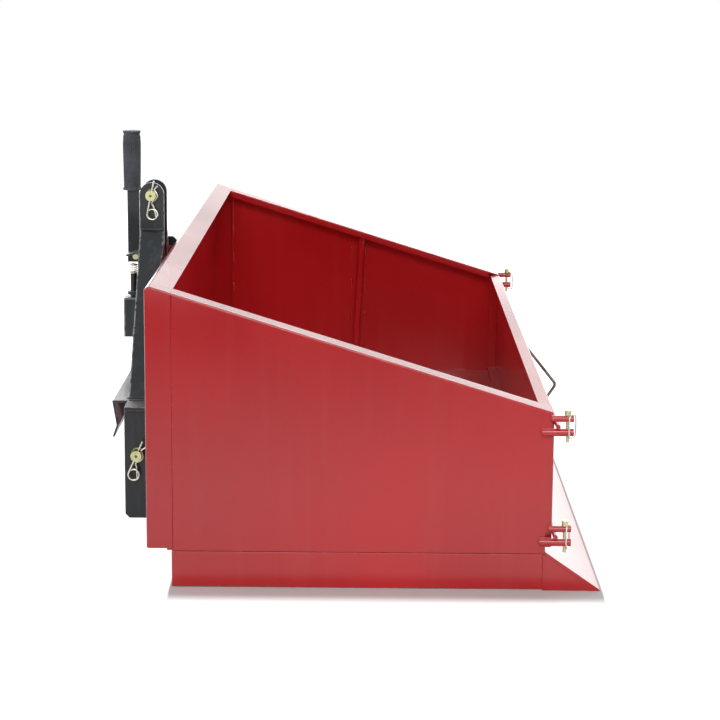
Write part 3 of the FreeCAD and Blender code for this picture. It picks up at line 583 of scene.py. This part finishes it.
def finishNodes():
    for node in sorted(set(frame["nodes"]) - madeAnew):
        shape = mergedShape(frame["nodes"][node].data)
        if node in centreHole["pins"]:
            drillCentres(shape)
        mesh = pour(shape, bpy.data.meshes.new(camel(node)))
        piece = newPiece(camel(node), mesh, slotFinish[slotOf[node]])
        softenEdges(piece, next((own for starts, own in ownRounding.items() if node.startswith(starts)), {}))
        attach(piece, bodyOf[node], slotOf[node], node)


def finishTailgate():  # sheet and edge strips become one folded tray
    parts = []
    for node in gateNodes:
        mesh = pour(mergedShape(frame["nodes"][node].data), bpy.data.meshes.new(node))
        parts.append(newPiece(node + "Part", mesh, redEnamel))
    tray = parts.pop()
    tray.name = "tailgateTray"
    for part in parts:
        join = tray.modifiers.new("join", "BOOLEAN")
        join.operation, join.solver, join.object = "UNION", "EXACT", part
    settle(tray)
    for part in parts:
        bpy.data.objects.remove(part)
    pour(mergedShape(tray.data), tray.data)
    softenEdges(tray, {"fold": gateFold})
    attach(tray, "tailgate", "red_enamel", *gateNodes)


finishNodes()
finishTailgate()
print("sheets, plates and bars rounded")


def newTree(name, **inputs):  # inputs are named under their kinds; the mesh that comes in is taken as a line
    tree = bpy.data.node_groups.new(name, "GeometryNodeTree")
    for kind, labels in {"Geometry": ["Geometry"], "Material": ["Material"], **inputs}.items():
        for label in labels:
            tree.interface.new_socket(label, in_out="INPUT", socket_type="NodeSocket" + kind)
    tree.interface.new_socket("Geometry", in_out="OUTPUT", socket_type="NodeSocketGeometry")
    given = addNode(tree, "NodeGroupInput", {}).outputs
    return tree, given, addNode(tree, "GeometryNodeMeshToCurve", {"Mesh": given["Geometry"]})


def closeTree(tree, given, line, outline, width=1.0):  # the outline swept along the line, smooth and capped
    tube = addNode(tree, "GeometryNodeCurveToMesh", {
        "Curve": line, "Profile Curve": outline, "Scale": width, "Fill Caps": True})
    smooth = addNode(tree, "GeometryNodeSetShadeSmooth", {"Geometry": tube})
    real = addNode(tree, "GeometryNodeRealizeInstances", {"Geometry": smooth})
    coated = addNode(tree, "GeometryNodeSetMaterial", {"Geometry": real, "Material": given["Material"]})
    addNode(tree, "NodeGroupOutput", {"Geometry": coated})
    return tree


def runTree(piece, tree, values):
    modifier = piece.modifiers.new(tree.name, "NODES")
    modifier.node_group = tree
    for item in tree.interface.items_tree:
        if item.in_out == "INPUT" and item.name in values:
            modifier[item.identifier] = values[item.name]
    return settle(piece)


def wireTree():
    tree, given, line = newTree("roundWire", Float=["Radius"], Int=["Sides"])
    outline = addNode(tree, "GeometryNodeCurvePrimitiveCircle", {
        "Radius": given["Radius"], "Resolution": given["Sides"]})
    return closeTree(tree, given, line, outline)


roundWire = wireTree()


def pathMesh(name, paths):  # each path is (points in mm, closed)
    points, edges = [], []
    for path, closed in paths:
        start = len(points)
        points += [Vector(point) * millimetre for point in path]
        edges += [(start + i, start + i + 1) for i in range(len(path) - 1)]
        if closed:
            edges.append((len(points) - 1, start))
    mesh = bpy.data.meshes.new(name)
    mesh.from_pydata(points, edges, [])
    return mesh


def bendPath(corners, radius, steps=8):  # a path whose inner corners are bent round
    corners = [Vector(corner) for corner in corners]
    path = [corners[0]]
    for before, corner, after in zip(corners, corners[1:], corners[2:]):
        start = corner + (before - corner).normalized() * radius
        end = corner + (after - corner).normalized() * radius
        for i in range(steps + 1):
            t = i / steps
            path.append((1 - t) ** 2 * start + 2 * t * (1 - t) * corner + t * t * end)
    return path + [corners[-1]]


def wirePiece(name, paths, radius, material, sides=14):
    piece = newPiece(name, pathMesh(name, paths), material)
    return runTree(piece, roundWire, {"Radius": radius * millimetre, "Sides": sides, "Material": material})


# Spring clips through the free ends of the linkage pins.
clip = {"wire": 1.7, "coilRadius": 10.3, "coilBack": 37, "turns": 1.42, "spread": 1.05, "legTip": 30,
        "legEye": -6, "inset": 9, "waist": 4.6, "hump": 12.8, "steps": 56, "settle": 4}
clipBack = [(-21.0, 9.4), (-17.5, 6.2), (-14.5, clip["waist"]), (-11.5, 5.8), (-7.5, 9.8), (-4.0, 12.0),
            (0.0, clip["hump"]), (4.0, 11.9), (7.8, 9.0), (10.8, 5.6), (13.2, clip["waist"]), (15.5, 5.6),
            (21.5, 9.6)]  # the waved leg: along and across
clipPlaces = {"top_link_pin": (-1, 12), "lower_link_pin_left": (-1, 24), "lower_link_pin_right": (1, 18)}


def clipPath(side, tilt):  # in the plane of the clip: along the straight leg, across it, along the pin
    back, radius = clip["coilBack"], clip["coilRadius"]
    flat = [(clip["legTip"], 0, 0), (clip["legEye"], 0, 0)]
    for i in range(clip["steps"] + 1):
        t = i / clip["steps"]
        angle = -math.pi / 2 - t * clip["turns"] * 2 * math.pi
        flat.append((-back + radius * math.cos(angle), radius + radius * math.sin(angle),
                     2 * clip["wire"] * t * clip["spread"]))
    lift = 2 * clip["wire"] * clip["spread"]
    for i, (along, across) in enumerate(clipBack):
        flat.append((along, across, lift * max(0, 1 - i / clip["settle"])))
    turn = math.radians(tilt)
    along, across = Vector((math.sin(turn), 0, math.cos(turn))), Vector((math.cos(turn), 0, -math.sin(turn)))
    inward = Vector((0, -side, 0))
    return [a * along + b * across + c * inward for a, b, c in flat]


def addClips():
    for node, (side, tilt) in clipPlaces.items():
        low, high = reach(node)
        end = low.y if side < 0 else high.y
        centre = Vector(((low.x + high.x) / 2, end - side * clip["inset"], (low.z + high.z) / 2))
        path = [centre + point for point in clipPath(side, tilt)]
        piece = wirePiece(camel(node) + "Clip", [(path, False)], clip["wire"], brightZinc)
        attach(piece, "frame", "bright_zinc")


# Spring rings hinged in the lynch pins' heads.
ring = {"wire": 1.25, "high": 20, "deep": 11.5, "squareness": 4, "ahead": 1.5, "hang": 0.7, "clear": 0.15,
        "steps": 56, "sides": 10}
ringSwing = {"top_left": 35, "top_right": 32, "bottom_left": 19, "bottom_right": 46}


def addRings():
    for place, swing in ringSwing.items():
        side = sides[place.split("_")[1]]
        low, high = reach("lynch_pin_" + place)
        pinX, middle = (low.x + high.x) / 2, (low.z + high.z) / 2
        outer = max(abs(value) for value in (cadBox[0][1], cadBox[1][1])) / millimetre
        edgeY = side * (outer - ring["wire"] - ring["clear"])
        turn = math.radians(swing)
        inward = Vector((math.sin(turn), -side * math.cos(turn), 0))
        centre = Vector((pinX + ring["ahead"], edgeY, middle - ring["hang"])) + inward * ring["deep"]
        path, power = [], 2 / ring["squareness"]
        for i in range(ring["steps"]):
            angle = 2 * math.pi * i / ring["steps"]
            c, s = math.cos(angle), math.sin(angle)
            path.append(centre + inward * ring["deep"] * math.copysign(abs(c) ** power, c)
                        + Vector((0, 0, ring["high"] * math.copysign(abs(s) ** power, s))))
        name = "lynchRing" + camel("x_" + place)[1:]
        piece = wirePiece(name, [(path, True)], ring["wire"], brightZinc, ring["sides"])
        attach(piece, "box", "bright_zinc")


# Bent bar on the tailgate: its knee lies a little above half height.
handle = {"radius": 3, "tuck": 1.0, "bend": 2.9, "knee": 0.546, "flat": 3, "topIn": 0.65, "bottomIn": 0.5,
          "sides": 20}


def addHandle():
    low, high = reach("tailgate_handle")
    radius, flat = handle["radius"], handle["flat"]
    face = low.x - handle["tuck"]
    tip = high.x - radius
    middle = low.z + (high.z - low.z) * handle["knee"]
    top, bottom = high.z - radius * handle["topIn"], low.z + radius * handle["bottomIn"]
    path = bendPath([(face, 0, top), (tip, 0, middle + flat), (tip, 0, middle - flat), (face, 0, bottom)],
                    handle["bend"])
    piece = wirePiece("tailgateHandle", [(path, False)], radius, drawnSteel, handle["sides"])
    attach(piece, "tailgate", "shaft_steel", "tailgate_handle")


spring = {"wire": 1.15, "turns": 6, "flatTurns": 0.8, "steps": 40, "sides": 10}


def addSpring():
    low, high = reach("return_spring")
    centre = (low + high) / 2
    radius = (high.x - low.x) / 2 - spring["wire"]
    bottom, top = low.z + spring["wire"], high.z - spring["wire"]
    rising = spring["turns"] - 2 * spring["flatTurns"]  # the end coils lie flat
    path = []
    for i in range(spring["turns"] * spring["steps"] + 1):
        turn = i / spring["steps"]
        share = min(max((turn - spring["flatTurns"]) / rising, 0), 1)
        angle = 2 * math.pi * turn
        path.append((centre.x + radius * math.cos(angle), centre.y + radius * math.sin(angle),
                     bottom + (top - bottom) * share))
    piece = wirePiece("returnSpring", [(path, False)], spring["wire"], brightZinc, spring["sides"])
    attach(piece, "frame", "bright_zinc", "return_spring")


addClips()
addRings()
addHandle()
addSpring()
print("clips, rings, handle and spring bent")


# Rubber grip: fluted lengthways, with fine rings around it.
grip = {"flutes": 26, "fluteDepth": 0.045, "rings": 15, "ringDepth": 0.02, "ringEdge": 4.0, "around": 156,
        "along": 150, "sharp": 50}
gripWidths = ((0.0, 1.0), (0.025, 1.0), (0.04, 0.89), (0.15, 0.90), (0.5, 0.94), (0.78, 0.96), (0.90, 0.92),
              (0.955, 0.84), (0.965, 0.93), (1.0, 0.93))  # share of the height, share of the lip's radius


def gripTree():
    tree, given, line = newTree("flutedGrip", Int=["Around", "Along"],
                                Float=["Radius", "Flutes", "Flute Depth", "Rings", "Ring Depth", "Ring Edge"])
    fine = addNode(tree, "GeometryNodeResampleCurve", {"Curve": line, "Count": given["Along"]})
    share = addNode(tree, "GeometryNodeSplineParameter", {}).outputs["Factor"]
    profile = addNode(tree, "ShaderNodeFloatCurve", {"Value": share})
    curve = profile.mapping.curves[0]
    curve.points[0].location, curve.points[1].location = gripWidths[0], gripWidths[-1]
    for place in gripWidths[1:-1]:
        curve.points.new(*place).handle_type = "VECTOR"
    profile.mapping.update()
    count = addNode(tree, "ShaderNodeMath", {"operation": "MULTIPLY", 0: share, 1: given["Rings"]})
    phase = addNode(tree, "ShaderNodeMath", {"operation": "MULTIPLY", 0: count, 1: math.pi})
    sine = addNode(tree, "ShaderNodeMath", {"operation": "SINE", 0: phase})
    wave = addNode(tree, "ShaderNodeMath", {"operation": "ABSOLUTE", 0: sine})
    dip = addNode(tree, "ShaderNodeMath", {"operation": "SUBTRACT", 0: 1.0, 1: wave})
    narrow = addNode(tree, "ShaderNodeMath", {"operation": "POWER", 0: dip, 1: given["Ring Edge"]})
    groove = addNode(tree, "ShaderNodeMath", {"operation": "MULTIPLY", 0: narrow, 1: given["Ring Depth"]})
    width = addNode(tree, "ShaderNodeMath", {"operation": "SUBTRACT", 0: profile, 1: groove})
    circle = addNode(tree, "GeometryNodeCurvePrimitiveCircle", {
        "Radius": given["Radius"], "Resolution": given["Around"]})
    around = addNode(tree, "GeometryNodeSplineParameter", {}).outputs["Factor"]
    turns = addNode(tree, "ShaderNodeMath", {"operation": "MULTIPLY", 0: around, 1: given["Flutes"]})
    angle = addNode(tree, "ShaderNodeMath", {"operation": "MULTIPLY", 0: turns, 1: 2 * math.pi})
    flute = addNode(tree, "ShaderNodeMath", {"operation": "COSINE", 0: angle})
    high = addNode(tree, "ShaderNodeMath", {"operation": "ADD", 0: flute, 1: 1.0})
    half = addNode(tree, "ShaderNodeMath", {"operation": "MULTIPLY", 0: given["Flute Depth"], 1: 0.5})
    depth = addNode(tree, "ShaderNodeMath", {"operation": "MULTIPLY", 0: high, 1: half})
    shrink = addNode(tree, "ShaderNodeMath", {"operation": "SUBTRACT", 0: 1.0, 1: depth})
    place = addNode(tree, "GeometryNodeInputPosition", {})
    moved = addNode(tree, "ShaderNodeVectorMath", {"operation": "SCALE", 0: place, "Scale": shrink})
    fluted = addNode(tree, "GeometryNodeSetPosition", {"Geometry": circle, "Position": moved})
    return closeTree(tree, given, fine, fluted, width)


def addGrip():
    low, high = reach("lever_grip")
    middle = (low + high) / 2
    line = [(middle.x, middle.y, low.z), (middle.x, middle.y, high.z)]
    piece = newPiece("leverGrip", pathMesh("leverGrip", [(line, False)]), gripRubber)
    runTree(piece, gripTree(), {
        "Radius": (high.x - low.x) / 2 * millimetre, "Flutes": float(grip["flutes"]),
        "Flute Depth": grip["fluteDepth"], "Rings": float(grip["rings"]), "Ring Depth": grip["ringDepth"],
        "Ring Edge": grip["ringEdge"], "Around": grip["around"], "Along": grip["along"],
        "Material": gripRubber})
    piece.data.set_sharp_from_angle(angle=math.radians(grip["sharp"]))
    attach(piece, "lever", "grip_rubber", "lever_grip")


addGrip()
print("grip moulded")

# Weld beads: rippled ropes of metal laid along the joints, then painted over.
weld = {
    "frame": {"radius": 3.0, "pitch": 5.0}, "box": {"radius": 2.3, "pitch": 4.4},
    "tailgate": {"radius": 2.0, "pitch": 4.0},
}
weldRipple = {"depth": 0.26, "scallop": 0.7, "wobble": 0.5, "lump": 14, "thinnest": 0.75, "sides": 12,
              "step": 0.9, "endWidth": 0.12}


def beadTree():
    tree, given, line = newTree("weldBead", Int=["Sides"], Float=["Radius", "Pitch", "Ripple", "Scallop",
                                                                  "Wobble", "Lump", "Thinnest", "End Width",
                                                                  "Step", "Seed"])
    fine = addNode(tree, "GeometryNodeResampleCurve", {
        "mode": "LENGTH", "Curve": line, "Length": given["Step"]})
    place = addNode(tree, "GeometryNodeInputPosition", {})
    noise = addNode(tree, "ShaderNodeTexNoise", {
        "noise_dimensions": "4D", "Vector": place, "Detail": 2.0, "W": given["Seed"],
        "Scale": given["Lump"]})
    centred = addNode(tree, "ShaderNodeVectorMath", {
        "operation": "SUBTRACT", 0: noise.outputs["Color"], 1: (0.5, 0.5, 0.5)})
    shift = addNode(tree, "ShaderNodeVectorMath", {
        "operation": "SCALE", 0: centred, "Scale": given["Wobble"]})
    bent = addNode(tree, "GeometryNodeSetPosition", {"Geometry": fine, "Offset": shift})
    along = addNode(tree, "GeometryNodeSplineParameter", {}).outputs["Length"]
    whole = addNode(tree, "GeometryNodeSplineLength", {}).outputs["Length"]
    count = addNode(tree, "ShaderNodeMath", {"operation": "DIVIDE", 0: along, 1: given["Pitch"]})
    phase = addNode(tree, "ShaderNodeMath", {"operation": "MULTIPLY", 0: count, 1: math.pi})
    sine = addNode(tree, "ShaderNodeMath", {"operation": "SINE", 0: phase})
    wave = addNode(tree, "ShaderNodeMath", {"operation": "ABSOLUTE", 0: sine})
    scallop = addNode(tree, "ShaderNodeMath", {"operation": "POWER", 0: wave, 1: given["Scallop"]})
    raised = addNode(tree, "ShaderNodeMath", {"operation": "MULTIPLY", 0: scallop, 1: given["Ripple"]})
    base = addNode(tree, "ShaderNodeMath", {"operation": "SUBTRACT", 0: 1.0, 1: given["Ripple"]})
    rippled = addNode(tree, "ShaderNodeMath", {"operation": "ADD", 0: base, 1: raised})
    left = addNode(tree, "ShaderNodeMath", {"operation": "SUBTRACT", 0: whole, 1: along})
    nearer = addNode(tree, "ShaderNodeMath", {"operation": "MINIMUM", 0: along, 1: left})
    fromEnd = addNode(tree, "ShaderNodeMath", {"operation": "DIVIDE", 0: nearer, 1: given["Radius"]})
    stubby = addNode(tree, "ShaderNodeMath", {"operation": "ADD", 0: fromEnd, 1: given["End Width"]})
    capped = addNode(tree, "ShaderNodeMath", {"operation": "MINIMUM", 0: stubby, 1: 1.0})
    taper = addNode(tree, "ShaderNodeMath", {"operation": "SQRT", 0: capped})
    half = addNode(tree, "ShaderNodeMath", {"operation": "MULTIPLY", 0: noise, 1: 0.5})
    lumpy = addNode(tree, "ShaderNodeMath", {"operation": "ADD", 0: half, 1: given["Thinnest"]})
    tapered = addNode(tree, "ShaderNodeMath", {"operation": "MULTIPLY", 0: rippled, 1: taper})
    width = addNode(tree, "ShaderNodeMath", {"operation": "MULTIPLY", 0: tapered, 1: lumpy})
    circle = addNode(tree, "GeometryNodeCurvePrimitiveCircle", {
        "Radius": given["Radius"], "Resolution": given["Sides"]})
    return closeTree(tree, given, bent, circle, width)


# Length of a stitch and the gap after it, in mm, and the bare length left at the ends of longer beads.
stitch = {"stiffener": (28, 62), "corner": (24, 44), "side": (30, 70), "skirt": (28, 90), "wall": (34, 110),
          "rib": (28, 80), "beam": (34, 120), "trunnion": (26, 20)}
bare = {"legTop": 1, "brace": 4, "join": 3, "cap": 4, "arm": 6, "bracket": 4, "guide": 3, "lug": 4, "ear": 3,
        "stiffenerFoot": 10, "stiffenerTop": 15, "cornerFoot": 20, "cornerTop": 60, "sideFront": 30,
        "sideRear": 40, "skirt": 20, "wall": 60, "rib": 10, "beam": 30}


def stitches(joint, row):  # short beads at even places along a joint
    bead, gap = stitch[row]
    start, end = (Vector(point) for point in joint)
    length = (end - start).length
    ahead = (end - start) / length
    count = max(1, int((length + gap) // (bead + gap)))
    spare = (length - count * bead) / count
    starts = [spare / 2 + i * (bead + spare) for i in range(count)]
    return [[start + ahead * first, start + ahead * (first + bead)] for first in starts]


def alongX(low, high, short, y, z):
    return [(low.x + short, y, z), (high.x - short, y, z)]


def alongY(low, high, short, x, z):
    return [(x, low.y + short, z), (x, high.y - short, z)]


def nearPlane(node, axis, value, slack=1.0):  # lowest and highest corners of a node's own points near a plane
    mesh, place = frame["nodes"][node].data, frame["nodes"][node].matrix_world
    points = [place @ vertex.co / millimetre for vertex in mesh.vertices]
    points = [point for point in points if abs(point[axis] - value) < slack]
    return [Vector([choose(point[i] for point in points) for i in range(3)]) for choose in (min, max)]


frameWeld = {"legProud": 1, "footProud": 0.5, "braceIn": (2, 14)}


def frameWelds():
    paths = []
    proud = frameWeld["footProud"]
    for side, s in sides.items():
        low, high = reach("mast_leg_" + side)
        plateLow, plateHigh = reach("mast_plate_" + side)
        face = s * max(abs(plateLow.y), abs(plateHigh.y))
        paths.append(alongX(low, high, bare["legTop"], face + s * frameWeld["legProud"], high.z))
        footLow, footHigh = nearPlane("mast_leg_" + side, 2, low.z)
        outer, inner = (footHigh.y, footLow.y) if s > 0 else (footLow.y, footHigh.y)
        outer, inner, front, z = outer + s * proud, inner - s * proud, footLow.x - proud, footLow.z + proud
        paths.append([(footHigh.x, outer, z), (front, outer, z), (front, inner, z), (footHigh.x, inner, z)])
        braceLow, braceHigh = reach("mast_brace")
        end = braceHigh.y if s > 0 else braceLow.y
        paths.append([(braceLow.x, end - s * inset, z) for inset, z in
                      zip(frameWeld["braceIn"], (braceLow.z + bare["brace"], braceHigh.z - bare["brace"]))])
        capLow, capHigh = reach("clevis_cap_" + side)
        crossLow, crossHigh = reach("cross_plate")
        join = s * min(abs(capLow.y), abs(capHigh.y))
        paths.append([(max(capLow.x, crossLow.x) + bare["join"], join, capHigh.z),
                      (min(capHigh.x, crossHigh.x) - bare["join"], join, capHigh.z)])
        paths += [alongX(capLow, capHigh, bare["cap"], y, capLow.z) for y in (capLow.y, capHigh.y)]
        armLow, armHigh = reach("tipping_arm_" + side)
        plates = reach("clevis_plates_" + side)[1]
        for y in (armLow.y, armHigh.y):
            paths.append([(armLow.x + bare["arm"], y, armHigh.z), (plates.x, y, armHigh.z)])
    low, high = reach("lever_bracket")
    paths += [alongY(low, high, bare["bracket"], high.x, z) for z in (high.z, low.z)]
    low, high = reach("rod_guide")
    paths.append(alongY(low, high, bare["guide"], high.x, high.z))
    return paths


boxWeld = {
    "wall": 3,  # sheet thickness
    "prongs": (13, 11), "prongProud": 0.6, "prongRound": 0.8, "prongTip": 1, "upperReach": 4,
    "returnAway": 3.2, "returnIn": 12, "returnFrom": 85, "returnTo": 8,  # the upper bead on the front return
    "cornerAway": 3.5, "skirtIn": 30, "skirtSunk": 0.5, "earSunk": 0.5,
}


def prongWeld(rear, start, y, z, radius):  # around the rounded end of a fork prong
    tip, side = boxWeld["prongTip"], radius * boxWeld["prongRound"]
    return [(rear - tip, y, z + side), (start + tip, y, z + side), (start - tip, y, z),
            (start + tip, y, z - side), (rear - tip, y, z - side)]


def boxWelds():
    paths = []
    floorTop = reach("floor_panel")[1].z
    wallInner = reach("side_panel_left")[0].x
    for side, s in sides.items():
        panelLow, panelHigh = reach("side_panel_" + side)
        outer = s * max(abs(panelLow.y), abs(panelHigh.y))
        inner = outer - s * boxWeld["wall"]
        for row in ("top", "bottom"):
            low, high = reach(f"gate_fork_{row}_{side}")
            lower, upper = (height / 2 for height in boxWeld["prongs"])
            rear, y = panelHigh.x, outer + s * boxWeld["prongProud"]
            paths.append(prongWeld(rear, low.x, y, low.z + lower, lower))
            paths.append(prongWeld(rear, rear - boxWeld["upperReach"], y, high.z - upper, upper))
        low, high = reach("side_stiffener_" + side)
        for x in (low.x, high.x):
            paths += stitches([(x, inner, floorTop + bare["stiffenerFoot"]),
                               (x, inner, high.z - bare["stiffenerTop"])], "stiffener")
        paths.append([(wallInner + boxWeld["returnAway"], inner - s * boxWeld["returnIn"], panelHigh.z - down)
                      for down in (boxWeld["returnFrom"], boxWeld["returnTo"])])
        x = wallInner + boxWeld["cornerAway"]
        paths += stitches([(x, inner, floorTop + bare["cornerFoot"]),
                           (x, inner, panelHigh.z - bare["cornerTop"])], "corner")
        paths += stitches([(wallInner + bare["sideFront"], inner, floorTop),
                           (panelHigh.x - bare["sideRear"], inner, floorTop)], "side")
        low, high = reach("base_skirt_" + side)
        paths += stitches(alongX(low, high, bare["skirt"], inner - s * boxWeld["skirtIn"],
                                 high.z - boxWeld["skirtSunk"]), "skirt")
    low, high = reach("front_wall")
    paths += stitches(alongY(low, high, bare["wall"], wallInner, floorTop), "wall")
    for name in ("left", "centre", "right"):
        low, high = reach("floor_rib_" + name)
        for y in (low.y, high.y):
            paths += stitches(alongX(low, high, bare["rib"], y, high.z), "rib")
    low, high = reach("pivot_beam")
    for x in (low.x, high.x):
        paths += stitches(alongY(low, high, bare["beam"], x, high.z), "beam")
    for side in sides:
        low, high = reach("pivot_lugs_" + side)
        paths += [alongX(low, high, bare["lug"], y, high.z) for y in (low.y, high.y)]
    low, high = reach("striker_ears")
    x = high.x - boxWeld["earSunk"]
    paths += [[(x, y, low.z + bare["ear"]), (x, y, high.z - bare["ear"])] for y in (low.y, high.y)]
    return paths


gateWeld = {"from": 690, "to": 785, "edge": 1, "proud": 0.6, "handleRadius": 3.6, "handleProud": 0.3,
            "ringSteps": 16}


def tailgateWelds():
    paths = []
    face = reach("tailgate_panel")[1].x
    x = face + gateWeld["proud"]
    for row in ("top", "bottom"):
        low, high = reach("gate_trunnions_" + row)
        for s in sides.values():
            for z in (low.z + gateWeld["edge"], high.z - gateWeld["edge"]):
                paths += stitches([(x, s * gateWeld["from"], z), (x, s * gateWeld["to"], z)], "trunnion")
    low, high = reach("tailgate_handle")
    x, radius, steps = face + gateWeld["handleProud"], gateWeld["handleRadius"], gateWeld["ringSteps"]
    for z in (low.z + handle["radius"], high.z - handle["radius"]):
        angles = [2 * math.pi * i / steps for i in range(steps + 1)]
        paths.append([(x, radius * math.cos(angle), z + radius * math.sin(angle)) for angle in angles])
    return paths


def addWelds():
    tree = beadTree()
    jobs = {"frame": (frameWelds, blackEnamel, "black_enamel"), "box": (boxWelds, redEnamel, "red_enamel"),
            "tailgate": (tailgateWelds, redEnamel, "red_enamel")}
    for seed, (body, (makePaths, material, slot)) in enumerate(jobs.items()):
        name = body + "Welds"
        piece = newPiece(name, pathMesh(name, [(path, False) for path in makePaths()]), material)
        runTree(piece, tree, {
            "Radius": weld[body]["radius"] * millimetre, "Pitch": weld[body]["pitch"] * millimetre,
            "Ripple": weldRipple["depth"], "Scallop": weldRipple["scallop"],
            "Wobble": weldRipple["wobble"] * millimetre, "Lump": 1 / millimetre / weldRipple["lump"],
            "Thinnest": weldRipple["thinnest"], "End Width": weldRipple["endWidth"],
            "Step": weldRipple["step"] * millimetre, "Sides": weldRipple["sides"], "Seed": float(seed),
            "Material": material})
        attach(piece, body, slot)
        print(piece.name, len(piece.data.polygons), "faces")


addWelds()
print("joints welded")
